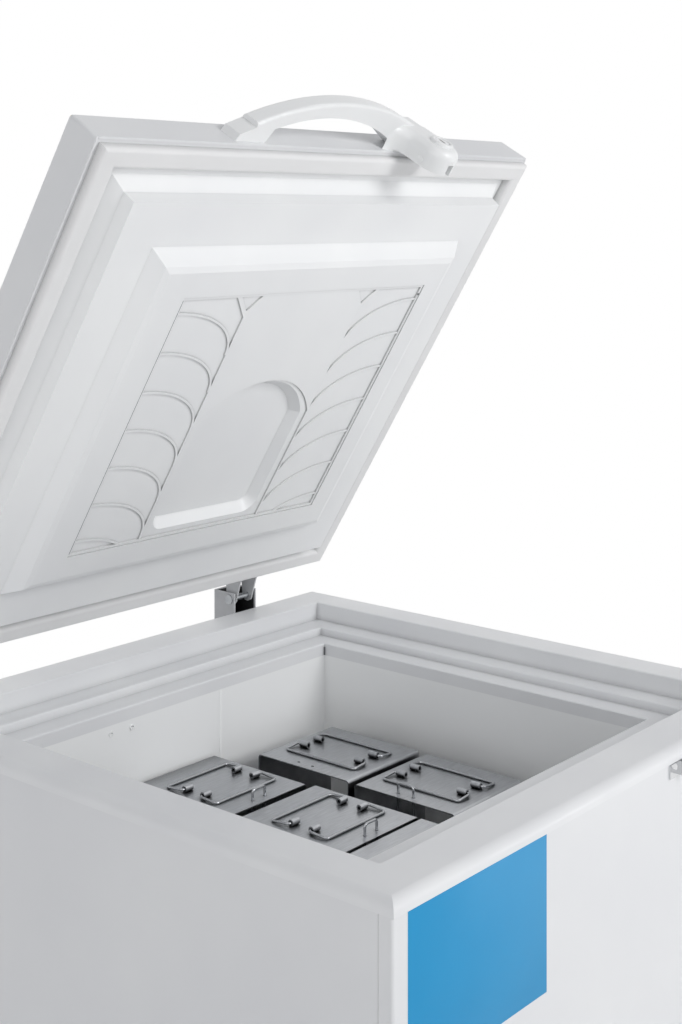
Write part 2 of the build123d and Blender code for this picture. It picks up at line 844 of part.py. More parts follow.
def lid_steps(wall):
    """The two steps under the lid, grown inwards by a wall."""
    steps = frustum(tier_middle_inset + wall, lid_under - tier_middle_drop + wall,
                    tier_top_inset + wall, lid_under + wall)
    steps += frustum(tier_bottom_inset + wall, lid_under - tier_drop + wall,
                     tier_middle_inset + wall, lid_under - tier_middle_drop + wall)
    if wall == 0:
        steps += frustum(block_middle_inset, lid_under - block_middle_drop,
                         block_top_inset, lid_under - tier_drop)
        return steps + frustum(block_bottom_inset, lid_face, block_middle_inset,
                               lid_under - block_middle_drop)
    slope = (block_middle_inset - block_top_inset) / (block_middle_drop - tier_drop)
    z0 = lid_face + relief_back + wall
    z1 = lid_under - tier_drop + wall
    return steps + frustum(block_top_inset + wall + slope * (z1 - z0), z0, block_top_inset + wall, z1)


def relief_box(grow, z0, z1):
    x = relief_width / 2 + grow
    return box(relief_middle - x, relief_middle + x, relief_front - grow, relief_rear + grow, z0, z1)


def lid_liner():
    plate = box(-half_width + hem_width, half_width - hem_width, lid_front + hem_width,
                lid_rear - hem_width, lid_under, lid_under + lid_liner_wall)
    body = plate + lid_steps(0)
    body -= lid_steps(lid_liner_wall)
    body -= relief_box(0, lid_face - 1, lid_face + relief_back)
    return body - dish_form(dish_wall + relief_clearance)


def lid_foam():
    x = half_width - lid_sheet
    block = box(-x, x, lid_front + lid_sheet, lid_rear - lid_sheet, lid_under + lid_liner_wall,
                lid_top - lid_sheet)
    return block + lid_steps(lid_liner_wall) - dish_form(dish_wall + relief_clearance)


def gasket():
    """Four mitred lengths of soft bulb gasket."""
    z0 = lid_under - gasket_drop
    profile = outline([
        (hem_width, lid_under),
        (hem_width + gasket_width, lid_under),
        (hem_width + gasket_width, z0),
        (hem_width, z0),
    ])
    profile = round_corners(profile, [(hem_width, z0), (hem_width + gasket_width, z0)], gasket_radius)
    return mitred_frame(profile, cabinet_width, lid_depth, lid_middle, hem_width + gasket_width + 1)


def dish_form(grow):
    """The arched dish, grown outwards: straight foot with round corners, sides and an arch, sloping in."""
    x = dish_half_width + grow
    foot = dish_foot + grow
    sides = Polyline((x, dish_shoulder), (x, foot), (-x, foot), (-x, dish_shoulder))
    arch = ThreePointArc((-x, dish_shoulder), (0, dish_arch_top - grow), (x, dish_shoulder))
    face = make_face([*sides.edges(), *arch.edges()])
    face = round_corners(face, [(-x, foot), (x, foot)], dish_corner + grow)
    place = Pos(relief_middle, relief_front, relief_floor)
    return extrude(place * face, dish_depth + grow, dir=(0, 0, 1), taper=dish_slope)


def fan_ribs():
    """Quarter-round ribs from the panel's left side to the left column, a pitch apart."""
    length = relief_rear - relief_front
    x_side = -relief_width / 2
    run = relief_width / 2 - column_half_spacing + rib_lap
    ribs = None
    for rib in range(fan_count):
        end = fan_first + rib * fan_pitch + fan_drop
        ring = Ellipse(run, fan_drop) - Ellipse(run - rib_width, fan_drop - rib_width)
        quarter = Pos(x_side, end) * (ring & (Pos(run / 2, -fan_drop / 2) * Rectangle(run, fan_drop)))
        ribs = quarter if ribs is None else ribs + quarter
    field = Pos(x_side + run / 2, length / 2) * Rectangle(run, length - 2 * relief_border)
    return ribs & field


def wedge(scale):
    """Pointed wedge where a column starts, at the panel's front end."""
    x = wedge_width / 2 * scale
    return Pos(-column_half_spacing, relief_border) * outline([(-x, 0), (x, 0), (0, wedge_length * scale)])


def relief_pattern():
    """Plan of all that stands up from the panel's floor; y counts from its front end."""
    x = column_half_spacing
    front = relief_border
    arch = ThreePointArc((-x, arch_foot), (0, arch_foot - arch_rise), (x, arch_foot))
    middle = make_face([*arch.edges(), *Polyline((x, arch_foot), (x, front), (-x, front),
                                                 (-x, arch_foot)).edges()])
    length = relief_rear - relief_front - relief_border - arch_foot
    column = Pos(-x, arch_foot + length / 2) * Rectangle(rib_width, length)
    side = fan_ribs() + column + wedge(1)
    hollow = wedge(0.7)
    pattern = middle + side + mirror(side, Plane.YZ)
    return pattern - hollow - mirror(hollow, Plane.YZ)


def lid_relief_panel():
    """Moulded panel let into the lid's face, with its ribs, columns and arched dish."""
    panel = relief_box(-relief_clearance, relief_floor, lid_face + relief_back - relief_clearance)
    panel += relief_box(-relief_clearance, lid_face + 1, relief_floor) - relief_box(
        -relief_border, lid_face, relief_floor + 1)
    place = Pos(relief_middle, relief_front, relief_floor - relief_height)
    panel += extrude(place * relief_pattern(), relief_height + 1, dir=(0, 0, 1))
    panel += dish_form(dish_wall)
    return panel - dish_form(0)


def lid_handle():
    """Bow handle on the lid's front edge, from its stepped left foot to the lock."""
    right = lock_x + lock_width / 2
    step = handle_left + handle_step
    foot = Polyline((grip_left, 0), (handle_left, 0), (handle_left + handle_foot_slant, -handle_foot_reach),
                    (step, -handle_step_low), (step, -handle_step_high))
    outer = ThreePointArc((step, -handle_step_high), ((step + lock_x) / 2, -handle_reach),
                          (lock_x, -lock_reach))
    end = Polyline((lock_x, -lock_reach), (right - handle_corner, -lock_reach),
                   (right, handle_corner - lock_reach), (right, 0), (grip_right, 0),
                   (grip_right_shoulder, -grip_shoulder_reach))
    inner = ThreePointArc((grip_right_shoulder, -grip_shoulder_reach),
                          ((grip_left_shoulder + grip_right_shoulder) / 2, -grip_reach),
                          (grip_left_shoulder, -grip_shoulder_reach))
    left = Polyline((grip_left_shoulder, -grip_shoulder_reach), (grip_left, 0))
    plan = make_face([*foot.edges(), outer, *end.edges(), inner, *left.edges()])
    bow = extrude(Pos(0, lid_front, lid_under + handle_bottom) * plan, handle_top - handle_bottom)
    arcs = bow.edges().filter_by(GeomType.CIRCLE).group_by(Axis.Y)[0]
    bow = fillet(arcs, handle_edge)
    shoulder = bow.edges().filter_by(Axis.Y).sort_by(Axis.X)[-2:].sort_by(Axis.Z)[-1]
    return fillet(shoulder, handle_corner)


def lock_front():
    """Front view of the lock housing: round tip, straight sides and the blend to the handle."""
    radius = lock_width / 2
    left = lock_x - radius
    z0 = lid_under - lock_drop
    z1 = lid_under + handle_bottom
    hollow = lock_blend * (1 - 0.5 ** 0.5)
    tip = ThreePointArc((lock_x + radius, z0 + radius), (lock_x, z0), (left, z0 + radius))
    blend = ThreePointArc((left, z1 - lock_blend), (left - hollow, z1 - hollow), (left - lock_blend, z1))
    side = Polyline((left, z0 + radius), (left, z1 - lock_blend))
    top = Polyline((left - lock_blend, z1), (lock_x + radius, z1), (lock_x + radius, z0 + radius))
    return make_face([tip, *side.edges(), blend, *top.edges()])


def lock_housing():
    """Cover with the key's ring, a head on the lid and two guides for the bolt beside the slot."""
    z0 = lid_under - lock_drop
    back = front_y - lock_back_gap
    body = extrude(Plane.XZ.offset(-lid_front) * lock_front(), lock_reach)
    rim = body.faces().sort_by(Axis.Y)[0].edges().sort_by(Axis.Z)[:-1]
    body = fillet(rim, lock_edge)
    body -= box(lock_x - 2 * lock_width, lock_x + lock_width, back, lid_front + 1, z0 - 1, lid_under)
    key_z = lid_under - key_drop
    face = lid_front - lock_reach
    body += rod(ring_radius, (lock_x, face + key_length, key_z), (lock_x, face - ring_height, key_z))
    bolt_y, bolt_z = bolt_place()
    hole_start = lock_x - slot_width / 2 - bolt_length - 1
    hole_end = lock_x + slot_width / 2 + bolt_travel
    body -= rod(bolt_radius + running_clearance, (hole_start, bolt_y, bolt_z), (hole_end, bolt_y, bolt_z))
    body -= rod(key_radius + running_clearance, (lock_x, face + key_length, key_z),
                (lock_x, face - ring_height - 1, key_z))
    split = lid_front - slot_depth
    far = 2 * lock_width
    slot = slot_width / 2
    regions = [
        (lock_x - far, lock_x + far, face - far, split, z0 - 1, lid_top),
        (lock_x - far, lock_x + far, split, lid_front, lid_under - slot_top, lid_top),
        (lock_x - far, lock_x - slot, split, lid_front, z0 - 1, lid_under - slot_top),
        (lock_x + slot, lock_x + far, split, lid_front, z0 - 1, lid_under - slot_top),
    ]
    return [body & box(*region) for region in regions]


def bolt_place():
    """Where the bolt runs when the lid is shut: through the hole of the keeper's tongue."""
    return front_y + skirt_wall - tongue_hole_reach, rim_height - keeper_drop


def lock_bolt():
    bolt_y, bolt_z = bolt_place()
    end = lock_x - slot_width / 2 - side_gap
    return rod(bolt_radius, (end - bolt_length, bolt_y, bolt_z), (end, bolt_y, bolt_z))


def lock_cylinder():
    """Round plug with its keyway, turned by the key."""
    z = lid_under - key_drop
    front = lid_front - lock_reach - ring_height - key_proud
    back = lid_front - lock_reach + key_length - key_gap
    plug = rod(key_radius, (lock_x, back, z), (lock_x, front, z))
    return plug - box(lock_x - keyway_width / 2, lock_x + keyway_width / 2, front - 1,
                      front + keyway_depth, z - keyway_height / 2, z + keyway_height / 2)


def lock_keeper():
    skin = front_y + skirt_wall
    z = rim_height - keeper_drop
    plate = box(lock_x - keeper_width / 2, lock_x + keeper_width / 2, skin - keeper_sheet, skin,
                z - keeper_height / 2, z + keeper_height / 2)
    tongue = box(lock_x - tongue_thickness / 2, lock_x + tongue_thickness / 2, skin - tongue_reach, skin,
                 z - keeper_height / 2, z + keeper_height / 2)
    tongue = fillet(tongue.faces().sort_by(Axis.Y)[0].edges().filter_by(Axis.X), tongue_corner)
    hole_y = skin - tongue_hole_reach
    hole = rod(tongue_hole_radius, (lock_x - tongue_thickness, hole_y, z),
               (lock_x + tongue_thickness, hole_y, z))
    return plate + tongue - hole


# Hinges
def hinge_places():
    return -hinge_spacing / 2, hinge_spacing / 2


def hinge_channel():
    """Pressed channel with a foot plate on the rear panel, open towards the lid at its top."""
    y0 = rear_y + channel_gap
    y1 = y0 + channel_depth
    z0 = rim_height - channel_below_rim
    z1 = pin_z + channel_above_pin
    x = channel_width / 2
    channel = box(-x, x, y0, y1, z0, z1)
    channel = fillet(channel.edges().filter_by(Axis.Z).group_by(Axis.Y)[-1], channel_corner)
    channel -= box(-x + channel_sheet, x - channel_sheet, y0 - 1, y1 - channel_sheet,
                   z0 + channel_sheet, z1 + 1)
    foot = box(-x - channel_foot_margin, x + channel_foot_margin, rear_y - skirt_wall, y0, z0,
               rim_height - channel_foot_drop)
    foot = fillet(foot.edges().filter_by(Axis.Y), channel_foot_corner)
    hole = rod(pin_radius, (-x - 1, pin_y, pin_z), (x + 1, pin_y, pin_z))
    return channel + foot - hole


def hinge_pin():
    """Pin with a head at each end, riveted in the channel's walls."""
    x = channel_width / 2
    pin = rod(pin_radius, (-x, pin_y, pin_z), (x, pin_y, pin_z))
    for side in (-1, 1):
        pin += rod(pin_head_radius, (side * x, pin_y, pin_z), (side * (x + pin_head_length), pin_y, pin_z))
    return pin


def hinge_arm():
    """Two cheeks on the pin, joined by the plate that is screwed to the lid's rear face."""
    plate_y = lid_rear + arm_sheet
    z0 = lid_under + arm_rise
    z1 = z0 + arm_plate_height
    cheek_plan = outline([
        (lid_rear, z0),
        (lid_rear, z1),
        (lid_rear + cheek_top, z1),
        (pin_y + eye_shoulder_y, pin_z + eye_shoulder_z),
        (pin_y, pin_z - arm_eye_radius),
        (lid_rear + cheek_bottom, z0),
    ]) + Pos(pin_y, pin_z) * Circle(arm_eye_radius)
    arm = box(-arm_plate_width / 2, arm_plate_width / 2, lid_rear, plate_y, z0, z1)
    arm = fillet(arm.edges().filter_by(Axis.Y), arm_corner)
    for side in (-1, 1):
        outer = arm_width / 2
        x0 = outer - arm_sheet if side > 0 else -outer
        arm += extrude(Plane.YZ.offset(x0) * cheek_plan, arm_sheet)
    bore = rod(pin_radius + running_clearance, (-arm_width, pin_y, pin_z), (arm_width, pin_y, pin_z))
    return arm - bore


def hinge_spring():
    """Coil spring on its rod, standing on the channel's floor."""
    z0 = rim_height - channel_below_rim + channel_sheet
    y = rear_y + channel_gap + channel_depth / 2
    coil_rise = 2 * spring_wire
    spring = Pos(0, y, z0 + spring_coils * coil_rise / 2) * Cylinder(
        spring_radius - spring_wire, spring_coils * coil_rise)
    for coil in range(spring_coils):
        spring += Pos(0, y, z0 + (coil + 0.5) * coil_rise) * Torus(spring_radius - spring_wire, spring_wire)
    return spring


# Racks
def lug_positions():
    """Middle of each rolled lug, on a rack whose middle is the origin."""
    places = []
    for sx in (-1, 1):
        for sy in (-1, 1):
            places.append((sx * (lug_end - lug_length / 2), sy * lug_spacing / 2))
    return places


def retainer_legs():
    y = -rack_depth / 2 + retainer_inset
    return [(retainer_offset + side * retainer_spacing / 2, y) for side in (-1, 1)]


def rack(with_holes):
    """Bent top, two sides, floor, shelves and a back stop, open to the front; top at z = 0."""
    x = rack_width / 2
    y = rack_depth / 2
    cap = box(-x, x, -y, y, -rack_bend, 0)
    cap = fillet(cap.edges().filter_by(Axis.Y).group_by(Axis.Z)[-1], rack_bend - 0.01)
    core = box(-x + rack_sheet, x - rack_sheet, -y - 1, y + 1, -rack_bend - 1, -rack_sheet)
    core = fillet(core.edges().filter_by(Axis.Y).group_by(Axis.Z)[-1], rack_bend - rack_sheet)
    cap -= core
    pieces = [box(-x, -x + rack_sheet, -y, y, -rack_height, -rack_bend),
              box(x - rack_sheet, x, -y, y, -rack_height, -rack_bend)]
    inner = x - rack_sheet
    level = (rack_height - rack_sheet) / rack_levels
    for shelf in range(rack_levels):
        z = -rack_height + shelf * level
        pieces.append(box(-inner, inner, -y, y, z, z + rack_sheet))
    if with_holes:
        for px, py in retainer_legs():
            hole = Pos(px, py, 0) * Cylinder(retainer_radius + retainer_hole_clearance, 4 * rack_bend)
            cap -= hole
            for index in range(3, len(pieces)):
                z = -rack_height + (index - 2) * level
                pieces[index] -= Pos(0, 0, z) * hole
    lugs = []
    for lx, ly in lug_positions():
        start = (lx - lug_length / 2, ly, lug_axis_rise)
        end = (lx + lug_length / 2, ly, lug_axis_rise)
        lugs.append(rod(lug_outer_radius, start, end) - rod(bail_radius + running_clearance, start, end))
    stop = box(-back_stop_width / 2, back_stop_width / 2, y, y + rack_sheet, -rack_height, -rack_sheet)
    return [cap] + pieces + lugs + [stop]


def bail(side):
    """Wire bail that lies flat; its hooked ends turn in two lugs. Side is +1 or -1 in y."""
    y0 = side * lug_spacing / 2
    y1 = y0 + side * bail_leg
    z = lug_axis_rise
    path = FilletPolyline(
        (-bail_hook_end, y0, z), (-bail_half_length, y0, z), (-bail_half_length, y1, z),
        (bail_half_length, y1, z), (bail_half_length, y0, z), (bail_hook_end, y0, z),
        radius=min(bail_bend, (bail_half_length - lug_end) * 0.9))
    return sweep(Plane(path @ 0, z_dir=path % 0) * Circle(bail_radius), path=path)


def retainer():
    """Staple of wire whose legs pass down the rack's open side."""
    (x0, y), (x1, _) = retainer_legs()
    foot = -rack_height + rack_sheet + rack_floor_clearance
    path = FilletPolyline((x0, y, foot), (x0, y, retainer_rise), (x1, y, retainer_rise), (x1, y, foot),
                          radius=retainer_bend)
    return sweep(Plane(path @ 0, z_dir=path % 0) * Circle(retainer_radius), path=path)


def rack_layout():
    """Middle of each rack and its turn about Z; each place is counted from the walls of the cold space."""
    right = half_width - throat_inset
    rear = rear_y - throat_inset
    b_x = right - wall_gap_b - rack_depth / 2
    c_x = right - wall_gap_c - rack_depth / 2
    b_y = rear - turned_rear_gap - rack_width / 2
    a_x = b_x - rack_depth / 2 - column_gap_b - rack_width / 2
    d_x = c_x - rack_depth / 2 - column_gap_c - rack_width / 2
    e_y = front_y + throat_inset + row_gaps[0] + rack_depth / 2
    d_y = e_y + rack_depth + row_gaps[1]
    a_y = d_y + rack_depth + row_gaps[2]
    return {
        "a": (a_x, a_y, 0),
        "b": (b_x, b_y, -90),
        "c": (c_x, b_y - rack_width - turned_gap, -90),
        "d": (d_x, d_y, 0),
        "e": (d_x, e_y, 0),
    }


# Write every node
coil = evaporator_coil()
save(coil, "evaporator_coil")
save(insulation(coil), "insulation_slabs")
save(liner(), "liner")
save(collars(), "collar")
save(front_panel(), "front_panel")
save(rear_panel(), "rear_panel")
save([side_panel(-1), side_panel(1)], "side_panels")
save(base_tray(), "base_tray")
save(bottom_plate(), "bottom_plate")
save(front_grille(), "front_grille")
save(control_panel(), "control_panel")
save(display_window(), "display_window")
save(condenser(), "condenser")
save(fan_frame(), "fan_frame")
save(fan_rotor(), "fan_rotor")
save(compressor(), "compressor")
save(compressor_feet(), "compressor_feet")
save(refrigerant_lines(), "refrigerant_lines")
save(mains_inlet(), "mains_inlet")
save(lock_keeper(), "lock_keeper")

plates = []
for name, (x, y) in castor_places().items():
    place = Pos(x, y, 0)
    plates.append(place * castor_plate())
    save(place * castor_fork(), "castor_fork_" + name)
    save(place * castor_wheel(), "castor_wheel_" + name)
save(plates, "castor_plates")

save([Pos(x, 0, 0) * hinge_channel() for x in hinge_places()], "hinge_channels")
save([Pos(x, 0, 0) * hinge_pin() for x in hinge_places()], "hinge_pins")
save([Pos(x, 0, 0) * hinge_spring() for x in hinge_places()], "hinge_springs")
save([opened(Pos(x, 0, 0) * hinge_arm()) for x in hinge_places()], "hinge_arms")
save(opened(lid_shell()), "lid_shell")
save(opened(lid_foam()), "lid_foam")
save(opened(lid_liner()), "lid_liner")
save(opened(lid_relief_panel()), "lid_relief_panel")
save([opened(bar) for bar in gasket()], "lid_gasket")
save(opened(lid_handle()), "lid_handle")
save([opened(piece) for piece in lock_housing()], "lock_housing")
save(opened(lock_bolt()), "lock_bolt")
save(opened(lock_cylinder()), "lock_cylinder")

for name, (x, y, turn) in rack_layout().items():
    place = Pos(x, y, rim_height - rack_top_drop) * Rot(0, 0, turn)
    save([place * piece for piece in rack(name != "e")], "rack_" + name)
    save(place * bail(-1), "rack_" + name + "_front_bail")
    save(place * bail(1), "rack_" + name + "_rear_bail")
    if name in racks_with_retainer:
        save(place * retainer(), "rack_" + name + "_retainer")
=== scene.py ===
import bpy
from math import pi, radians
from mathutils import Matrix, Vector


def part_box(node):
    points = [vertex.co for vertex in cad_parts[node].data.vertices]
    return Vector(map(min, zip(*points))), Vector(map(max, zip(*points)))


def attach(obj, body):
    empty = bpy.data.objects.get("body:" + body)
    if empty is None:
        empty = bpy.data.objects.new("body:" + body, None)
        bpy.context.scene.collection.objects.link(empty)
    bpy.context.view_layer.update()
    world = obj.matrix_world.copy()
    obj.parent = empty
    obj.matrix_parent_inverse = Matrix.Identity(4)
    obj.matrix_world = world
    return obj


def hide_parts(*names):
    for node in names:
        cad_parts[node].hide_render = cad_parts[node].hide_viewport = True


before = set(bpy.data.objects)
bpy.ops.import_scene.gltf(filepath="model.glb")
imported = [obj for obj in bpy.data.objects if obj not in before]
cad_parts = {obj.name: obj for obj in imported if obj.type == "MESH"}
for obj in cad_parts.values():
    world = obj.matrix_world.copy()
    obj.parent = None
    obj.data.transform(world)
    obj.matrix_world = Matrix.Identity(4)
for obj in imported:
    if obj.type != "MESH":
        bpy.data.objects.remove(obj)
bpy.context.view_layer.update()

# Units: Blender works in metres, and the sizes below are in millimetres where no comment says more
MM = 0.001
METRE = 1000.0

# The photograph's frame, in pixels, and the camera that gives it
PHOTO_WIDTH = 682
PHOTO_HEIGHT = 1024
SENSOR = 36.0                   # height of the camera's sensor, in millimetres

# Where the camera stood, from the rim's front left corner, in metres, and its level heading
CAMERA_FROM_CORNER = Vector((-0.9932, -0.7137, 0.5298))
CAMERA_HEADING = 0.825          # radians from +Y towards +X
CAMERA_FOCAL_PIXELS = 1570.5
CAMERA_AXIS_PIXEL = (200.0, 216.2)

# Materials
TINT_FROM = 0.3                 # noise below this keeps the base colour
TINT_TO = 0.7                   # and above this has the second colour
CORNER_CLOSED = 0.3             # openness, from 0 to 1, at which a corner has all its painted shade
CORNER_OPEN = 0.92              # and at which a face has no painted shade
CORNER_SAMPLES = 8


def colour(code):
    """An sRGB hex code as a linear colour."""
    channels = [int(code[i:i + 2], 16) / 255 for i in (1, 3, 5)]
    linear = [c / 12.92 if c <= 0.04045 else ((c + 0.055) / 1.055) ** 2.4 for c in channels]
    return (*linear, 1.0)


def add(made, kind, links=(), **settings):
    """Add a node with its settings, and link sockets of earlier nodes into its inputs."""
    tree = made.node_tree
    node = tree.nodes.new(kind)
    for name, value in settings.items():
        if hasattr(node, name):
            setattr(node, name, value)
        else:
            node.inputs[name.replace("_", " ")].default_value = value
    for socket, name in links:
        tree.links.new(socket, node.inputs[name])
    return node


def material(name, base, **settings):
    """A named material with its shader; returns the material and the shader node."""
    made = bpy.data.materials.new(name)
    made.use_nodes = True
    shader = made.node_tree.nodes["Principled BSDF"]
    shader.inputs["Base Color"].default_value = colour(base)
    for socket, value in settings.items():
        shader.inputs[socket.replace("_", " ")].default_value = value
    return made, shader


def noise(made, size_mm, detail=2.0, stretch=(1, 1, 1)):
    """A value from 0 to 1 whose grain is size_mm across, on the piece's own coordinates."""
    place = add(made, "ShaderNodeTexCoord")
    mapping = add(made, "ShaderNodeMapping", [(place.outputs["Object"], "Vector")], Scale=stretch)
    grain = add(made, "ShaderNodeTexNoise", [(mapping.outputs["Vector"], "Vector")],
                Scale=METRE / size_mm, Detail=detail)
    return grain.outputs["Fac"]


def bump(made, shader, height, depth_mm, strength):
    """Raise the surface by a value from 0 to 1."""
    node = add(made, "ShaderNodeBump", [(height, "Height")], Distance=depth_mm / METRE, Strength=strength)
    made.node_tree.links.new(node.outputs["Normal"], shader.inputs["Normal"])


def roughen(made, shader, source, low, high):
    """Vary the roughness between two values."""
    ranged = add(made, "ShaderNodeMapRange", [(source, "Value")], To_Min=low, To_Max=high)
    made.node_tree.links.new(ranged.outputs["Result"], shader.inputs["Roughness"])


def tint(made, shader, source, second):
    """Vary the colour between the shader's own base colour and a second one."""
    base = shader.inputs["Base Color"]
    ramp = add(made, "ShaderNodeValToRGB", [(source, "Fac")])
    first_stop, second_stop = ramp.color_ramp.elements
    first_stop.position = TINT_FROM
    second_stop.position = TINT_TO
    first_stop.color = base.default_value
    second_stop.color = colour(second)
    made.node_tree.links.new(ramp.outputs["Color"], base)


def paint_corner_shade(made, shader, least, reach_mm=9.0):
    """Painted shade: inner corners and narrow gaps drawn darker, down to least of the colour, by how little
    open space the occlusion node finds round them within the reach.
    """
    base = shader.inputs["Base Color"]
    unshaded_colour = base.links[0].from_socket
    corner = add(made, "ShaderNodeAmbientOcclusion", Distance=reach_mm / METRE, samples=CORNER_SAMPLES)
    shade = add(made, "ShaderNodeMapRange", [(corner.outputs["AO"], "Value")],
                From_Min=CORNER_CLOSED, From_Max=CORNER_OPEN, To_Min=least, To_Max=1.0)
    shaded_colour = add(made, "ShaderNodeVectorMath", [(unshaded_colour, 0), (shade.outputs["Result"], "Scale")],
                operation="SCALE")
    made.node_tree.links.new(shaded_colour.outputs["Vector"], base)


def powder_coated_steel():
    """Sprayed and baked polyester powder: a faint orange peel breaks up the reflections."""
    made, shader = material("powder_coated_steel", "#E1E2E4")
    peel = noise(made, size_mm=2.2, detail=1.0)
    bump(made, shader, peel, depth_mm=0.05, strength=0.35)
    tint(made, shader, noise(made, size_mm=160.0), "#E6E7E8")
    roughen(made, shader, peel, 0.36, 0.5)
    return made


def satin_pvc():
    """Extruded rigid PVC of the collar: smooth along its length, with a soft sheen."""
    made, shader = material("satin_pvc", "#E3E4E6")
    drawn = noise(made, size_mm=9.0, stretch=(0.2, 0.2, 1.0))
    roughen(made, shader, drawn, 0.28, 0.42)
    tint(made, shader, noise(made, size_mm=120.0), "#E9EAEB")
    # Painted shade darkens the collar's inner corners and narrow gaps, down to 0.7 of its colour.
    paint_corner_shade(made, shader, least=0.7)
    bump(made, shader, drawn, depth_mm=0.03, strength=0.3)
    return made


def formed_polystyrene():
    """Vacuum-formed polystyrene sheet of the lid's inside: a soft gloss over a slight ripple."""
    made, shader = material("formed_polystyrene", "#F0F1F2")
    bump(made, shader, noise(made, size_mm=22.0), depth_mm=0.25, strength=0.25)
    roughen(made, shader, noise(made, size_mm=1.6, detail=1.0), 0.3, 0.44)
    tint(made, shader, noise(made, size_mm=140.0), "#F5F6F6")
    # Painted shade darkens the lid's steps, ribs and grooves, down to 0.45 of its colour.
    paint_corner_shade(made, shader, least=0.45, reach_mm=5.0)
    return made


def moulded_abs():
    """Injection-moulded ABS of the handle and lock: even and slightly glossier than the sheet parts.
    Its grain is drawn coarser than the mould's, so that it shows."""
    made, shader = material("moulded_abs", "#EFF0F0")
    grain = noise(made, size_mm=0.9, detail=1.0)
    roughen(made, shader, grain, 0.24, 0.38)
    bump(made, shader, grain, depth_mm=0.02, strength=0.3)
    return made


def soft_gasket_vinyl():
    """Extruded magnetic vinyl: matt, and a touch warmer than the plastics round it."""
    made, shader = material("soft_gasket_vinyl", "#E8E8E8")
    tint(made, shader, noise(made, size_mm=90.0), "#ECECEC")
    # Painted shade darkens the gasket's folds and the gaps beside it, down to 0.6 of its colour.
    paint_corner_shade(made, shader, least=0.6)
    roughen(made, shader, noise(made, size_mm=1.5, detail=1.0), 0.44, 0.58)
    return made


def coated_liner_sheet():
    """Coil-coated steel sheet of the cold space: brighter and glossier than the outside."""
    made, shader = material("coated_liner_sheet", "#F5F6F6")
    rolled = noise(made, size_mm=3.0, detail=1.0, stretch=(1, 1, 0.1))
    roughen(made, shader, rolled, 0.26, 0.36)
    bump(made, shader, rolled, depth_mm=0.02, strength=0.25)
    return made


def brushed_stainless():
    """Ground stainless sheet: straight scratches spread the highlights across them.
    They are drawn coarser than the grit leaves them, so that they show."""
    made, shader = material("brushed_stainless", "#A9ABAF", Metallic=1.0)
    scratch = noise(made, size_mm=0.8, detail=3.0, stretch=(0.04, 1.0, 0.04))
    roughen(made, shader, scratch, 0.24, 0.46)
    tint(made, shader, scratch, "#C4C6C9")
    # Painted shade darkens the racks far into their gaps and undersides, down to 0.12 of the colour.
    paint_corner_shade(made, shader, least=0.12, reach_mm=45.0)
    bump(made, shader, scratch, depth_mm=0.01, strength=0.3)
    return made


def drawn_steel_wire():
    """Drawn and polished stainless wire: smoother than the sheet, with narrow highlights."""
    made, shader = material("drawn_steel_wire", "#A9ABAE", Metallic=1.0)
    roughen(made, shader, noise(made, size_mm=1.2), 0.16, 0.3)
    return made


def bright_chrome():
    """Nickel and chrome plate: a clear mirror with a few dull specks."""
    made, shader = material("bright_chrome", "#D6D7D9", Metallic=1.0)
    roughen(made, shader, noise(made, size_mm=0.6, detail=1.0), 0.05, 0.14)
    return made


def zinc_plated_steel():
    """Bright zinc plate on pressed steel: cool grey, cloudy where the passivation varies."""
    made, shader = material("zinc_plated_steel", "#9A9DA1", Metallic=1.0)
    cloud = noise(made, size_mm=18.0, detail=3.0)
    tint(made, shader, cloud, "#B4B7B9")
    roughen(made, shader, cloud, 0.3, 0.5)
    return made


def grey_hinge_enamel():
    """Sprayed satin enamel of the hinge pressings: light grey, with a fine peel."""
    made, shader = material("grey_hinge_enamel", "#BDBEC0", Roughness=0.4)
    bump(made, shader, noise(made, size_mm=1.6, detail=1.0), depth_mm=0.04, strength=0.35)
    tint(made, shader, noise(made, size_mm=25.0), "#CACCCE")
    return made


def black_enamel():
    """Brushed-on black enamel of the compressor's shell: glossy, with the brush's uneven film."""
    made, shader = material("black_enamel", "#121314")
    film = noise(made, size_mm=2.5, detail=1.0)
    bump(made, shader, film, depth_mm=0.06, strength=0.4)
    roughen(made, shader, film, 0.22, 0.42)
    return made


def black_nylon():
    """Glass-filled nylon: near black, with a dry grain, drawn coarser than the fibres so that it shows."""
    made, shader = material("black_nylon", "#17181A")
    grain = noise(made, size_mm=0.7)
    bump(made, shader, grain, depth_mm=0.03, strength=0.4)
    roughen(made, shader, grain, 0.42, 0.6)
    return made


def grey_abs():
    """Textured ABS of the grille and the control panel: mid grey and half matt."""
    made, shader = material("grey_abs", "#696C70", Roughness=0.45)
    grain = noise(made, size_mm=0.8)
    bump(made, shader, grain, depth_mm=0.04, strength=0.4)
    tint(made, shader, grain, "#73767A")
    return made


def smoked_acrylic():
    """Cast dark acrylic over the display: near black and glossy."""
    made, shader = material("smoked_acrylic", "#0C0F12")
    roughen(made, shader, noise(made, size_mm=30.0), 0.08, 0.16)
    return made


def mill_aluminium():
    """Rolled aluminium fins: pale, with a soft streak along the rolling."""
    made, shader = material("mill_aluminium", "#C2C4C6", Metallic=1.0)
    roughen(made, shader, noise(made, size_mm=1.0, stretch=(1, 1, 0.1)), 0.3, 0.5)
    return made


def drawn_copper():
    """Drawn copper tube, a little dulled by handling."""
    made, shader = material("drawn_copper", "#A5623F", Metallic=1.0)
    dull = noise(made, size_mm=14.0, detail=3.0)
    tint(made, shader, dull, "#C4835F")
    roughen(made, shader, dull, 0.24, 0.44)
    return made


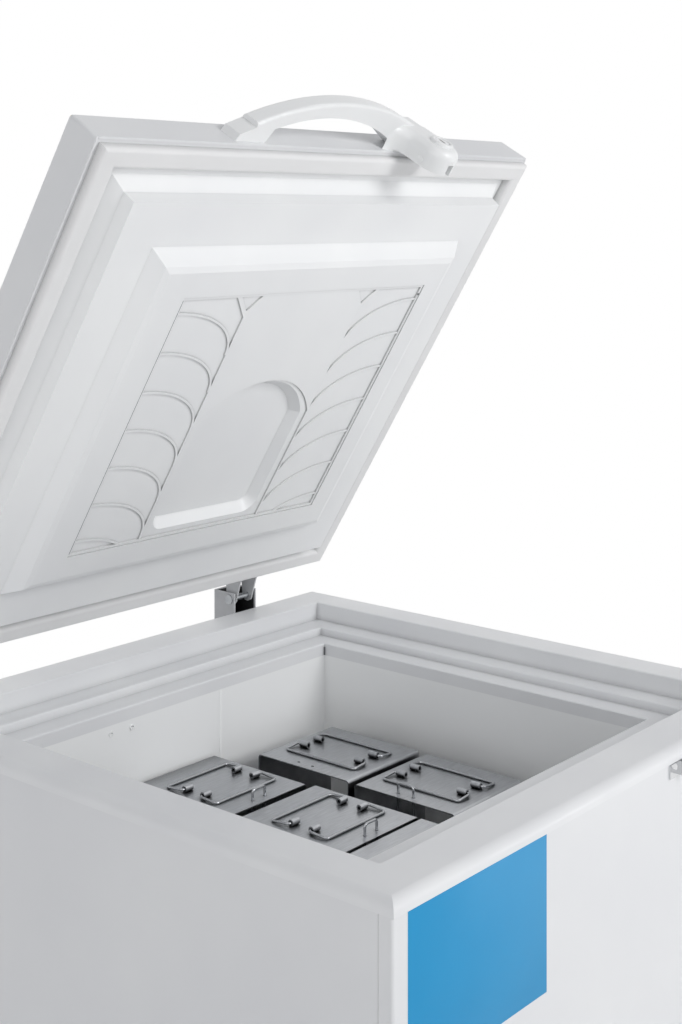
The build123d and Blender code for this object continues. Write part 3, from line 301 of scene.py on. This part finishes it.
def polyurethane_foam():
    """Poured rigid foam: straw yellow, matt, with small closed cells."""
    made, shader = material("polyurethane_foam", "#D3C083", Roughness=0.9)
    cells = noise(made, size_mm=1.5, detail=3.0)
    bump(made, shader, cells, depth_mm=0.3, strength=0.6)
    tint(made, shader, cells, "#E2D39F")
    return made


def moulded_rubber(name, first, second):
    """Moulded rubber: matt, with a faint bloom."""
    made, shader = material(name, first, Roughness=0.62)
    bloom = noise(made, size_mm=6.0)
    tint(made, shader, bloom, second)
    bump(made, shader, bloom, depth_mm=0.05, strength=0.3)
    return made


def blue_vinyl():
    """Cut vinyl sheet: even blue with a print-satin face, whose fleck is drawn coarse enough to show."""
    made, shader = material("blue_vinyl", "#2093C9", Roughness=0.4, Specular_IOR_Level=0.25)
    bump(made, shader, noise(made, size_mm=1.0, detail=1.0), depth_mm=0.01, strength=0.3)
    tint(made, shader, noise(made, size_mm=60.0), "#2496CC")
    return made


def grey_sealant():
    """Soft grey, half matt: cured silicone of the vent plug, and painted shade where it fills the gaps of
    the relief's joint and the throat's corner.
    """
    made, shader = material("grey_sealant", "#6B6D70")
    roughen(made, shader, noise(made, size_mm=2.0, detail=1.0), 0.42, 0.58)
    return made


def lamp_lens(name, code):
    """Tinted polycarbonate lens of an indicator that is off: dark and glossy."""
    made, shader = material(name, code)
    roughen(made, shader, noise(made, size_mm=3.0, detail=1.0), 0.1, 0.2)
    return made


POWDER = powder_coated_steel()
COLLAR_PVC = satin_pvc()
POLYSTYRENE = formed_polystyrene()
ABS_WHITE = moulded_abs()
GASKET = soft_gasket_vinyl()
LINER_SHEET = coated_liner_sheet()
STAINLESS = brushed_stainless()
WIRE = drawn_steel_wire()
CHROME = bright_chrome()
ZINC = zinc_plated_steel()
HINGE_ENAMEL = grey_hinge_enamel()
BLACK_ENAMEL = black_enamel()
NYLON = black_nylon()
ABS_GREY = grey_abs()
ACRYLIC = smoked_acrylic()
ALUMINIUM = mill_aluminium()
COPPER = drawn_copper()
FOAM = polyurethane_foam()
RUBBER_BLACK = moulded_rubber("black_rubber", "#1A1B1C", "#242526")
RUBBER_GREY = moulded_rubber("grey_tread_rubber", "#6C6E70", "#767879")
VINYL = blue_vinyl()
SEALANT_AND_GAP_SHADE = grey_sealant()
LENSES = (
    lamp_lens("green_lens", "#2E7A45"),
    lamp_lens("amber_lens", "#B87A1C"),
    lamp_lens("red_lens", "#A3262A"),
)

NODE_MATERIALS = {
    POWDER: ["front_panel", "rear_panel", "side_panels", "lid_shell"],
    COLLAR_PVC: ["collar"],
    POLYSTYRENE: ["lid_liner", "lid_relief_panel"],
    ABS_WHITE: ["lid_handle", "lock_housing"],
    GASKET: ["lid_gasket"],
    LINER_SHEET: ["liner"],
    CHROME: ["lock_cylinder", "lock_keeper"],
    ZINC: ["base_tray", "bottom_plate", "castor_plates", "hinge_pins", "hinge_springs", "lock_bolt"],
    HINGE_ENAMEL: ["hinge_channels", "hinge_arms"],
    BLACK_ENAMEL: ["compressor"],
    NYLON: ["fan_frame", "fan_rotor", "mains_inlet"],
    ABS_GREY: ["front_grille", "control_panel"],
    ACRYLIC: ["display_window"],
    ALUMINIUM: ["condenser"],
    COPPER: ["evaporator_coil", "refrigerant_lines"],
    FOAM: ["insulation_slabs", "lid_foam"],
    RUBBER_BLACK: ["compressor_feet"],
}


def dress(name, made):
    """Give a CAD node its material, and leave its mesh as it is."""
    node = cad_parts[name]
    node.data.materials.clear()
    node.data.materials.append(made)


def dress_nodes():
    """Dress the nodes that the table lists, and those that repeat by the start or end of their name."""
    for made, names in NODE_MATERIALS.items():
        for name in names:
            dress(name, made)
    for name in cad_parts:
        if name.endswith("_bail") or name.endswith("_retainer"):
            dress(name, WIRE)
        elif name.startswith("rack_"):
            dress(name, STAINLESS)
        elif name.startswith("castor_fork"):
            dress(name, ZINC)
        elif name.startswith("castor_wheel"):
            dress(name, RUBBER_GREY)


# Places on the cabinet and on the lid, which is modelled shut and then turned open
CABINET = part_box("collar")
PIN_LOW, PIN_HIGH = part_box("hinge_pins")
PIN = Vector((0, (PIN_LOW[1] + PIN_HIGH[1]) / 2, (PIN_LOW[2] + PIN_HIGH[2]) / 2))
LID_OPEN = radians(58.73)
LID_SETBACK = 2.0               # front edge of the shut lid behind the cabinet's front
LID_LIFT = 11.1                 # its underside above the rim
LID_WIDTH = 750.0
LID_DEPTH = 654.3
LID_THICKNESS = 42.7
LID_TURN = Matrix.Translation(PIN) @ Matrix.Rotation(-LID_OPEN, 4, "X") @ Matrix.Translation(-PIN)
HAIR = 0.05                     # keeps a face just off the one beside it


def cabinet_spot(x, y, z):
    """A point counted from the cabinet's left side, its front and its rim."""
    return Vector((CABINET[0][0] + x * MM, CABINET[0][1] + y * MM, CABINET[1][2] + z * MM))


def lid_spot(x, back, up):
    """A point of the shut lid: from its left side, from its front edge, and up from its underside."""
    return cabinet_spot(x, LID_SETBACK + back, LID_LIFT + up)


def corners_of(node):
    """A CAD node's lowest and highest corners, as vectors in metres."""
    low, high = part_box(node)
    return Vector(low), Vector(high)


# Modelling helpers
ALONG = {"X": (0, pi / 2, 0), "Y": (pi / 2, 0, 0), "Z": (0, 0, 0)}
SMOOTH_ANGLE = radians(35)
ROUND_SIDES = 48
SMALL_SIDES = 24
SCREW_SIDES = 32
HOOP_SIDES = 56
HOOP_SECTION_SIDES = 16
RECESS_WIDTH = 0.18             # half the width of a screw's cross, as a share of its head's radius
RECESS_REACH = 0.62             # half its length, as a share of the radius
RECESS_DEPTH = 0.5              # as a share of the head's height
RECESS_EDGE = 0.02
HEAD_EDGE = 0.45                # rounding of the head, as a share of its height


def deselect():
    bpy.ops.object.select_all(action="DESELECT")


def choose(piece):
    deselect()
    piece.select_set(True)
    bpy.context.view_layer.objects.active = piece


def finish_piece(piece, name, made, body, on_lid=False):
    """Name a piece, turn it with the lid if it was made shut, set its origin and ride it."""
    piece.name = name
    if on_lid:
        piece.matrix_world = LID_TURN @ piece.matrix_world
    choose(piece)
    bpy.ops.object.transform_apply(location=True, rotation=True, scale=True)
    piece.data.materials.clear()
    piece.data.materials.append(made)
    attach(piece, body)


def soften(piece, rounding, segments=2):
    """Round the sharp edges and smooth the faces between them."""
    edge = piece.modifiers.new("edge", "BEVEL")
    edge.width = rounding * MM
    edge.segments = segments
    edge.limit_method = "ANGLE"
    choose(piece)
    bpy.ops.object.modifier_apply(modifier="edge")
    bpy.ops.object.shade_smooth_by_angle(angle=SMOOTH_ANGLE)
    return piece


def block(low, high, rounding=0.3, segments=2):
    """A block between two corners with its edges rounded."""
    deselect()
    bpy.ops.mesh.primitive_cube_add(size=1, location=(low + high) / 2)
    made = bpy.context.object
    made.scale = high - low
    bpy.ops.object.transform_apply(location=False, rotation=False, scale=True)
    return soften(made, rounding, segments)


def drum(centre, radius, length, axis="Y", rounding=0.3, sides=ROUND_SIDES):
    """A round block about its middle, with rounded rims."""
    deselect()
    bpy.ops.mesh.primitive_cylinder_add(vertices=sides, radius=radius * MM, depth=length * MM,
                                        location=centre, rotation=ALONG[axis])
    return soften(bpy.context.object, rounding)


def hoop(centre, radius, thickness):
    """A ring of round section that faces along Y; thickness is the radius of that section."""
    deselect()
    bpy.ops.mesh.primitive_torus_add(major_radius=radius * MM, minor_radius=thickness * MM,
                                     major_segments=HOOP_SIDES, minor_segments=HOOP_SECTION_SIDES,
                                     location=centre, rotation=ALONG["Y"])
    bpy.ops.object.shade_smooth()
    return bpy.context.object


def joined(pieces):
    """Join pieces to one, which keeps the first one's place."""
    deselect()
    for piece in pieces:
        piece.select_set(True)
    bpy.context.view_layer.objects.active = pieces[0]
    bpy.ops.object.join()
    return pieces[0]


def copies(piece, shifts):
    """Copy a piece, each with its own mesh, by shifts in metres, and join them to one."""
    made = [piece]
    for shift in shifts:
        twin = piece.copy()
        twin.data = piece.data.copy()
        bpy.context.scene.collection.objects.link(twin)
        twin.location = piece.location + Vector(shift)
        made.append(twin)
    return joined(made)


def screw(centre, radius, height, out):
    """A pan-head screw with a cross recess; out is 1 or -1, the way along Y that its head faces."""
    rise = Vector((0, out * height * MM, 0))
    head = drum(centre + rise / 2, radius, height, rounding=height * HEAD_EDGE, sides=SCREW_SIDES)
    wide = RECESS_REACH * radius
    narrow = RECESS_WIDTH * radius
    deep = RECESS_DEPTH * height
    for half in (Vector((wide, deep, narrow)), Vector((narrow, deep, wide))):
        arm = block(centre + rise - half * MM, centre + rise + half * MM, RECESS_EDGE, segments=1)
        cut = head.modifiers.new("recess", "BOOLEAN")
        cut.object = arm
        cut.operation = "DIFFERENCE"
        cut.solver = "EXACT"
        choose(head)
        bpy.ops.object.modifier_apply(modifier="recess")
        bpy.data.objects.remove(arm)
    return head


# The blue sheet's bare place on the front, from the cabinet's left side and the rim
LABEL_LEFT = 22.3
LABEL_RIGHT = 233.0
LABEL_TOP = -15.3
LABEL_BOTTOM = -155.0
LABEL_THICKNESS = 0.25


def front_label():
    low = cabinet_spot(LABEL_LEFT, 0, LABEL_BOTTOM)
    high = cabinet_spot(LABEL_RIGHT, 0, LABEL_TOP)
    high.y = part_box("front_panel")[0][1]
    low.y = high.y - LABEL_THICKNESS * MM
    finish_piece(block(low, high, rounding=0.1), "front_label", VINYL, "root")


# Cold space: lap seam and screws on the rear wall, and a dark grey wedge in the corner of the throat,
# painted shade of the gap there
WALL_BACK = 570.0               # rear wall's face behind the cabinet's front
SEAM_X = 434.0
SEAM_WIDTH = 4.5
SEAM_PROUD = 0.7
SEAM_FOOT = -479.0
SEAM_TOP = -49.5                # under the collar's lip
WALL_SCREWS = (247.0, 280.5)
WALL_SCREW_Z = -58.0
WALL_SCREW_RADIUS = 3.4
WALL_SCREW_HEIGHT = 1.6
THROAT_RIGHT = 638.0
THROAT_SHADE_SIZE = 1.6
THROAT_SHADE_FOOT = -48.0
THROAT_SHADE_TOP = -37.5


def cold_space_fittings():
    strip = block(cabinet_spot(SEAM_X - SEAM_WIDTH / 2, WALL_BACK - SEAM_PROUD, SEAM_FOOT),
                  cabinet_spot(SEAM_X + SEAM_WIDTH / 2, WALL_BACK, SEAM_TOP))
    finish_piece(strip, "liner_lap_seam", LINER_SHEET, "root")
    first, second = WALL_SCREWS
    head = screw(cabinet_spot(first, WALL_BACK, WALL_SCREW_Z), WALL_SCREW_RADIUS, WALL_SCREW_HEIGHT, -1)
    heads = copies(head, [((second - first) * MM, 0, 0)])
    finish_piece(heads, "liner_screws", LINER_SHEET, "root")
    # A dark grey wedge in the throat's corner: painted shade of the gap at the collar's mitre.
    throat_shade = block(cabinet_spot(THROAT_RIGHT - THROAT_SHADE_SIZE, WALL_BACK - THROAT_SHADE_SIZE, THROAT_SHADE_FOOT),
                 cabinet_spot(THROAT_RIGHT, WALL_BACK, THROAT_SHADE_TOP), rounding=0.4)
    finish_piece(throat_shade, "throat_corner_seal", SEALANT_AND_GAP_SHADE, "root")


# Lid's edges: rods in the upright corners, and the fold under the hem
ROD_RADIUS = 3.2
ROD_INSET = 0.03                # rod's side behind the lid's faces
ROD_SHORTER = 1.6               # than the lid is thick
FOLD_PROUD = 0.8
FOLD_INSET = 0.6                # fold's outer side behind the lid's faces
FOLD_WIDTH = 2.2
REAR_FOLD_WIDTH = 2.6
FOLD_END = 3.0                  # ends of the front and rear folds, from the lid's sides
SIDE_FOLD_END = 2.6             # ends of the side folds, from its front and rear


def lid_corner_rods():
    length = LID_THICKNESS - ROD_SHORTER
    inset = ROD_RADIUS + ROD_INSET
    rods = []
    for x in (inset, LID_WIDTH - inset):
        for back in (inset, LID_DEPTH - inset):
            rods.append(drum(lid_spot(x, back, length / 2 + HAIR), ROD_RADIUS, length, "Z", rounding=0.4))
    finish_piece(joined(rods), "lid_corner_rods", POWDER, "lid", on_lid=True)


def lid_hem_fold():
    """The folded edge under the hem, which leaves a groove beside the gasket."""
    right = LID_WIDTH - FOLD_INSET
    rear = LID_DEPTH - FOLD_INSET
    bars = [
        (FOLD_END, FOLD_INSET, LID_WIDTH - FOLD_END, FOLD_INSET + FOLD_WIDTH),
        (FOLD_END, rear - REAR_FOLD_WIDTH, LID_WIDTH - FOLD_END, rear),
        (FOLD_INSET, SIDE_FOLD_END, FOLD_INSET + FOLD_WIDTH, LID_DEPTH - SIDE_FOLD_END),
        (right - FOLD_WIDTH, SIDE_FOLD_END, right, LID_DEPTH - SIDE_FOLD_END),
    ]
    made = [block(lid_spot(x0, y0, -FOLD_PROUD), lid_spot(x1, y1, HAIR), rounding=0.35)
            for x0, y0, x1, y1 in bars]
    finish_piece(joined(made), "lid_hem_fold", POWDER, "lid", on_lid=True)


# Relief panel's joint with its pocket: the dark grey strips in it are painted shade of the gap
RELIEF_LEFT = 166.2
RELIEF_RIGHT = 590.8
RELIEF_END = 158.2              # panel's ends from the lid's front and rear edges
RELIEF_BORDER = 3.5
RELIEF_FLOOR = -39.0
JOINT_WIDTH = 1.5
JOINT_DEPTH = 2.4
RIBBED_JOINT_DEPTH = 0.5        # shallower on the right, where the ribs' ends cross the joint


def relief_joint():
    front = RELIEF_END + RELIEF_BORDER
    rear = LID_DEPTH - front
    # Dark strips along the pocket's walls: painted shade of the gap between the panel and its pocket.
    left = block(lid_spot(RELIEF_LEFT, front, RELIEF_FLOOR - JOINT_DEPTH),
                 lid_spot(RELIEF_LEFT + JOINT_WIDTH, rear, RELIEF_FLOOR), rounding=0.2)
    right = block(lid_spot(RELIEF_RIGHT - JOINT_WIDTH, front, RELIEF_FLOOR - RIBBED_JOINT_DEPTH),
                  lid_spot(RELIEF_RIGHT, rear, RELIEF_FLOOR), rounding=0.2)
    finish_piece(joined([left, right]), "relief_joint", SEALANT_AND_GAP_SHADE, "lid", on_lid=True)


# Lock: ring and rim round the key, a black block in the keyway as its painted shade, plug on the bolt's
# bore; vent plug of the lid's liner
LOCK_X = 490.0
LOCK_UP = -35.0
RING_FACE = -32.5               # where the ring's face stands, in front of the lid's edge
RING_SINK = 0.4
RING_RADIUS = 11.2
RING_THICKNESS = 2.6
KEY_FACE = -33.7                # and the key's face
RIM_SINK = 0.5
RIM_RADIUS = 7.9
RIM_THICKNESS = 0.55
KEYWAY_HALF_WIDTH = 1.3
KEYWAY_HALF_HEIGHT = 4.6
KEYWAY_DEPTH = 0.4
BOLT_PLUG = (465.25, -8.5, -33.6)       # from the lid's left side, front edge and underside
BOLT_PLUG_RADIUS = 4.4
BOLT_PLUG_LENGTH = 1.2
VENT_PLUG = (589.0, 172.0, -40.6)
VENT_PLUG_RADIUS = 1.7
VENT_PLUG_LENGTH = 1.2


def lid_small_parts():
    ring = hoop(lid_spot(LOCK_X, RING_FACE + RING_SINK, LOCK_UP), RING_RADIUS, RING_THICKNESS)
    finish_piece(ring, "key_ring", ABS_WHITE, "lid", on_lid=True)
    rim = hoop(lid_spot(LOCK_X, KEY_FACE + RIM_SINK, LOCK_UP), RIM_RADIUS, RIM_THICKNESS)
    finish_piece(rim, "key_rim", CHROME, "key", on_lid=True)
    left, right = LOCK_X - KEYWAY_HALF_WIDTH, LOCK_X + KEYWAY_HALF_WIDTH
    # A black block in the keyway: painted shade of its dark opening.
    slot = block(lid_spot(left, KEY_FACE - HAIR, LOCK_UP - KEYWAY_HALF_HEIGHT),
                 lid_spot(right, KEY_FACE + KEYWAY_DEPTH, LOCK_UP + KEYWAY_HALF_HEIGHT), rounding=0.2)
    finish_piece(slot, "keyway_shutter", NYLON, "key", on_lid=True)
    plug = drum(lid_spot(*BOLT_PLUG), BOLT_PLUG_RADIUS, BOLT_PLUG_LENGTH, "X", rounding=0.5)
    finish_piece(plug, "bolt_bore_plug", ABS_WHITE, "lid", on_lid=True)
    vent = drum(lid_spot(*VENT_PLUG), VENT_PLUG_RADIUS, VENT_PLUG_LENGTH, "Z", sides=SMALL_SIDES)
    finish_piece(vent, "lid_vent_plug", SEALANT_AND_GAP_SHADE, "lid", on_lid=True)


# Hinges: a black lining in each channel, painted shade of its unlit inside, and screws in its foot plate
HINGE_X = (140.0, 610.0)
CHANNEL_HALF_WIDTH = 20.0       # inside
CHANNEL_BACK = 720.0            # inner face of its back
LINING_GAP = 0.1                # between the channel's sheet and its lining
LINING_BACK = 0.7               # the lining's thickness at the back
LINING_SIDE = 0.8               # and at the sides
LINING_LAP = 0.1                # how far the sides reach into the back
LINING_FRONT = 686.0
LINING_FOOT = -162.5
LINING_TOP = 21.0
HINGE_SCREW_SIDEWAYS = 26.0     # from the hinge's middle
HINGE_SCREW_Y = 684.0           # face of the channel's foot plate
HINGE_SCREW_Z = (-45.0, -145.0)
HINGE_SCREW_RADIUS = 2.6
HINGE_SCREW_HEIGHT = 1.4


def hinge_fittings():
    outer = CHANNEL_BACK - LINING_GAP
    inner = outer - LINING_BACK
    near = CHANNEL_HALF_WIDTH - LINING_GAP
    far = near - LINING_SIDE
    shade_linings = []
    screws = []
    for x in HINGE_X:
        shade_linings.append(block(cabinet_spot(x - near, inner, LINING_FOOT),
                             cabinet_spot(x + near, outer, LINING_TOP), rounding=0.2))
        for side in (-1, 1):
            left, right = sorted((x + side * near, x + side * far))
            shade_linings.append(block(cabinet_spot(left, LINING_FRONT, LINING_FOOT),
                                 cabinet_spot(right, inner + LINING_LAP, LINING_TOP), rounding=0.2))
            for z in HINGE_SCREW_Z:
                place = cabinet_spot(x + side * HINGE_SCREW_SIDEWAYS, HINGE_SCREW_Y, z)
                screws.append(screw(place, HINGE_SCREW_RADIUS, HINGE_SCREW_HEIGHT, 1))
    # The black linings are painted shade of each channel's unlit inside.
    finish_piece(joined(shade_linings), "hinge_channel_liners", NYLON, "root")
    finish_piece(joined(screws), "hinge_screws", ZINC, "root")


# Bails: thin wire that rests on the rack's top, each in place of its plain solid
WIRE_RADIUS = 1.45
WIRE_ROUNDNESS = 3
SOLID_RADIUS = 2.0
HOOK_END = 39.0                 # free ends of the wire, from the bail's middle
BEND = 5.0                      # where a bend starts and ends, from its corner
BEND_STEPS = 6
SAG = 1.9                       # bar below the lugs' axis


def wire(name, points):
    """Round wire through points, with its corners bent round, as a mesh."""
    path = [points[0]]
    for before, corner, after in zip(points, points[1:], points[2:]):
        start = corner + (before - corner).normalized() * BEND * MM
        end = corner + (after - corner).normalized() * BEND * MM
        for step in range(BEND_STEPS + 1):
            t = step / BEND_STEPS
            path.append(start * (1 - t) ** 2 + corner * 2 * t * (1 - t) + end * t ** 2)
    path.append(points[-1])
    data = bpy.data.curves.new(name, "CURVE")
    data.dimensions = "3D"
    data.bevel_depth = WIRE_RADIUS * MM
    data.bevel_resolution = WIRE_ROUNDNESS
    data.use_fill_caps = True
    line = data.splines.new("POLY")
    line.points.add(len(path) - 1)
    for point, place in zip(line.points, path):
        point.co = (*place, 1)
    made = bpy.data.objects.new(name, data)
    bpy.context.scene.collection.objects.link(made)
    choose(made)
    bpy.ops.object.convert(target="MESH")
    made = bpy.context.object
    bpy.ops.object.shade_smooth()
    return made


def bail_points(node):
    """The wire's corners: a bar along the rack's edge, with an arm and a free end at each side."""
    low, high = corners_of(node)
    middle = (low + high) / 2
    turned = high.y - low.y > high.x - low.x
    long, short = (1, 0) if turned else (0, 1)
    inset = SOLID_RADIUS * MM
    half = (high[long] - low[long]) / 2 - inset
    bar, hook = low[short] + inset, high[short] - inset
    if "_front_" not in node:
        bar, hook = hook, bar
    points = []
    for side, across, reach in ((-1, hook, HOOK_END * MM), (-1, hook, half), (-1, bar, half),
                                (1, bar, half), (1, hook, half), (1, hook, HOOK_END * MM)):
        point = middle.copy()
        point[long] += side * reach
        point[short] = across
        point.z -= SAG * MM if across == bar else 0
        points.append(point)
    return points


def bail_wires():
    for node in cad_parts:
        if node.endswith("_bail"):
            made = wire(node + "_wire", bail_points(node))
            finish_piece(made, node + "_wire", WIRE, node)
            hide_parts(node)


# Back: screws round the rear panel, and a rocker switch beside the mains inlet
BACK_FACE = 679.5               # rear panel's face behind the cabinet's front
BACK_SCREW_X = (18.0, 196.0, 375.0, 554.0, 732.0)
BACK_SCREW_Z = (-40.0, -300.0, -560.0, -786.0)
BACK_SCREW_RADIUS = 4.2
BACK_SCREW_HEIGHT = 1.7
SWITCH_SIDEWAYS = 58.0          # from the inlet's middle
SWITCH_SINK = 3.0               # its seat behind the inlet's face
BEZEL_LOW = Vector((-12.0, 0.0, -16.0))
BEZEL_HIGH = Vector((12.0, 2.0, 16.0))
ROCKER_LOW = Vector((-8.5, 1.0, -12.0))
ROCKER_HIGH = Vector((8.5, 3.0, 12.0))


def back_screws():
    """Down both sides of the rear panel and along its foot."""
    sides = (BACK_SCREW_X[0], BACK_SCREW_X[-1])
    foot = BACK_SCREW_Z[-1]
    places = [(x, z) for x in BACK_SCREW_X for z in BACK_SCREW_Z if x in sides or z == foot]
    x0, z0 = places[0]
    head = screw(cabinet_spot(x0, BACK_FACE, z0), BACK_SCREW_RADIUS, BACK_SCREW_HEIGHT, 1)
    heads = copies(head, [((x - x0) * MM, 0, (z - z0) * MM) for x, z in places[1:]])
    finish_piece(heads, "back_screws", ZINC, "root")


def rocker_switch():
    low, high = corners_of("mains_inlet")
    middle = (low + high) / 2
    seat = Vector((middle.x - SWITCH_SIDEWAYS * MM, high.y - SWITCH_SINK * MM, middle.z))
    bezel = block(seat + BEZEL_LOW * MM, seat + BEZEL_HIGH * MM, rounding=1.0, segments=3)
    rocker = block(seat + ROCKER_LOW * MM, seat + ROCKER_HIGH * MM, rounding=0.8, segments=3)
    finish_piece(joined([bezel, rocker]), "mains_switch", NYLON, "root")


# Castors: a hub on each side of a wheel, and the nuts of its axle
HUB_SIDEWAYS = 9.4              # from the wheel's middle
HUB_RADIUS = 17.5
HUB_LENGTH = 2.6
NUT_SIDEWAYS = 18.2
NUT_RADIUS = 5.6
NUT_LENGTH = 3.6
NUT_SIDES = 6


def axle_pair(middle, sideways, radius, length, rounding, sides=ROUND_SIDES):
    """The same drum on both sides of a wheel."""
    return joined([drum(middle + Vector((side * sideways * MM, 0, 0)), radius, length, "X", rounding, sides)
                   for side in (-1, 1)])


def castor_fittings():
    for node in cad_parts:
        if not node.startswith("castor_wheel"):
            continue
        low, high = corners_of(node)
        middle = (low + high) / 2
        hub = axle_pair(middle, HUB_SIDEWAYS, HUB_RADIUS, HUB_LENGTH, rounding=0.8)
        wheel = node.replace("castor_", "")
        finish_piece(hub, node.replace("castor_wheel", "wheel_hub"), ABS_GREY, wheel)
        nuts = axle_pair(middle, NUT_SIDEWAYS, NUT_RADIUS, NUT_LENGTH, rounding=0.5, sides=NUT_SIDES)
        fork = node.replace("castor_wheel", "fork")
        finish_piece(nuts, node.replace("castor_wheel", "axle_nuts"), ZINC, fork)


# Control panel: four buttons beside the display, three indicators under it, dark backing behind it
BUTTON_SIDEWAYS = 24.0          # first column from the display's right edge
BUTTON_BELOW = 9.0              # lower row from its middle
BUTTON_COLUMN = 24.0
BUTTON_ROW = 18.0
BUTTON_RADIUS = 6.2
BUTTON_LENGTH = 3.0
INDICATOR_FIRST = 16.0          # from the display's left edge
INDICATOR_STEP = 22.0
INDICATOR_BELOW = 13.0          # under its lower edge
INDICATOR_RADIUS = 2.4
INDICATOR_LENGTH = 2.0
BACKING_MARGIN = Vector((4.0, 0.3, 4.0))        # round the display's rear face


def control_fittings():
    panel_face = corners_of("control_panel")[0].y
    low, high = corners_of("display_window")
    lower_row = (low.z + high.z) / 2 - BUTTON_BELOW * MM
    button = drum(Vector((high.x + BUTTON_SIDEWAYS * MM, panel_face, lower_row)), BUTTON_RADIUS,
                  BUTTON_LENGTH, rounding=0.9)
    column, row = BUTTON_COLUMN * MM, BUTTON_ROW * MM
    buttons = copies(button, [(0, 0, row), (column, 0, 0), (column, 0, row)])
    finish_piece(buttons, "control_buttons", NYLON, "root")
    for number, lens in enumerate(LENSES):
        x = low.x + (INDICATOR_FIRST + INDICATOR_STEP * number) * MM
        place = Vector((x, panel_face, low.z - INDICATOR_BELOW * MM))
        lamp = drum(place, INDICATOR_RADIUS, INDICATOR_LENGTH, rounding=0.7, sides=SMALL_SIDES)
        finish_piece(lamp, "lamp_%d" % (number + 1), lens, "root")
    low.y = high.y
    backing = block(low - BACKING_MARGIN * MM, high + BACKING_MARGIN * MM, rounding=0.2)
    finish_piece(backing, "display_surround", NYLON, "root")


dress_nodes()
front_label()
cold_space_fittings()
lid_corner_rods()
lid_hem_fold()
relief_joint()
lid_small_parts()
hinge_fittings()
bail_wires()
back_screws()
rocker_switch()
castor_fittings()
control_fittings()

# Floor, light and camera, in metres
FLOOR_SIZE = 60.0
SHADOW_REACH = 1.0              # the floor shows its own shade up to here from the middle
WHITE_FROM = 2.6                # and is plain white from here on
AMBIENT = 0.38                  # strength of the surroundings as light
SKY = (0.955, 0.965, 1.0, 1.0)  # linear colour of that light
WHITE = (1.0, 1.0, 1.0, 1.0)
LAMPS = {
    # name: place, target, size, watts
    "front_softbox": ((0.7, -3.2, 2.4), (0.0, 0.0, 1.0), 1.5, 54.0),
    "low_right_softbox": ((2.2, -2.2, 0.4), (0.0, 0.0, 1.2), 0.9, 6.5),
    "left_softbox": ((-3.1, -0.9, 1.7), (0.0, 0.0, 1.0), 2.0, 21.0),
    "rear_softbox": ((0.9, 3.3, 2.0), (0.0, 0.0, 0.8), 2.0, 24.0),
}


def seen_directly(made):
    """A value of 1 where the camera, a mirror or glass looks, and 0 where light is gathered."""
    path = add(made, "ShaderNodeLightPath")
    total = path.outputs["Is Camera Ray"]
    for name in ("Is Glossy Ray", "Is Transmission Ray"):
        higher = add(made, "ShaderNodeMath", [(total, 0), (path.outputs[name], 1)], operation="MAXIMUM")
        total = higher.outputs[0]
    return total


def blend_shaders(made, share, first, second, output):
    """Show the second shader in place of the first by a share from 0 to 1."""
    mix = add(made, "ShaderNodeMixShader", [(share, "Fac"), (first.outputs[0], 1), (second.outputs[0], 2)])
    tree = made.node_tree
    tree.links.new(mix.outputs[0], tree.nodes[output].inputs["Surface"])


def floor():
    """Pale floor with the object's shadow round its foot, which fades into plain white."""
    deselect()
    bpy.ops.mesh.primitive_plane_add(size=FLOOR_SIZE, location=(0, 0, 0))
    plane = bpy.context.object
    plane.name = "studio_floor"
    made, shader = material("studio_floor", "#F4F4F4", Roughness=0.7)
    place = add(made, "ShaderNodeTexCoord")
    reach = add(made, "ShaderNodeVectorMath", [(place.outputs["Object"], 0)], operation="LENGTH")
    fade = add(made, "ShaderNodeMapRange", [(reach.outputs["Value"], "Value")],
               interpolation_type="SMOOTHSTEP", From_Min=SHADOW_REACH, From_Max=WHITE_FROM)
    share = add(made, "ShaderNodeMath", [(fade.outputs["Result"], 0), (seen_directly(made), 1)],
                operation="MULTIPLY")
    white = add(made, "ShaderNodeEmission", Strength=1.0)
    blend_shaders(made, share.outputs[0], shader, white, "Material Output")
    plane.data.materials.append(made)


def world_light():
    """Even pale surroundings, white where the camera or a mirror sees them."""
    world = bpy.data.worlds.new("studio")
    bpy.context.scene.world = world
    world.use_nodes = True
    light = world.node_tree.nodes["Background"]
    light.inputs["Color"].default_value = SKY
    light.inputs["Strength"].default_value = AMBIENT
    white = add(world, "ShaderNodeBackground", Color=WHITE, Strength=1.0)
    blend_shaders(world, seen_directly(world), light, white, "World Output")


def lamps():
    for name, (place, target, size, watts) in LAMPS.items():
        data = bpy.data.lights.new(name, "AREA")
        data.size = size
        data.energy = watts
        lamp = bpy.data.objects.new(name, data)
        bpy.context.scene.collection.objects.link(lamp)
        lamp.location = place
        direction = Vector(target) - Vector(place)
        lamp.rotation_euler = direction.to_track_quat("-Z", "Y").to_euler()


def camera():
    """Level camera with a shift, because upright edges are parallel in the photograph."""
    data = bpy.data.cameras.new("photograph")
    view = bpy.data.objects.new("photograph", data)
    bpy.context.scene.collection.objects.link(view)
    view.location = cabinet_spot(0, 0, 0) + CAMERA_FROM_CORNER
    view.rotation_euler = (radians(90), 0, -CAMERA_HEADING)
    data.sensor_fit = "VERTICAL"
    data.sensor_height = SENSOR
    data.sensor_width = SENSOR
    data.lens = CAMERA_FOCAL_PIXELS * SENSOR / PHOTO_HEIGHT
    data.shift_x = (PHOTO_WIDTH / 2 - CAMERA_AXIS_PIXEL[0]) / PHOTO_HEIGHT
    data.shift_y = (CAMERA_AXIS_PIXEL[1] - PHOTO_HEIGHT / 2) / PHOTO_HEIGHT
    bpy.context.scene.camera = view


floor()
world_light()
lamps()
camera()
bpy.context.scene.view_settings.view_transform = "Standard"
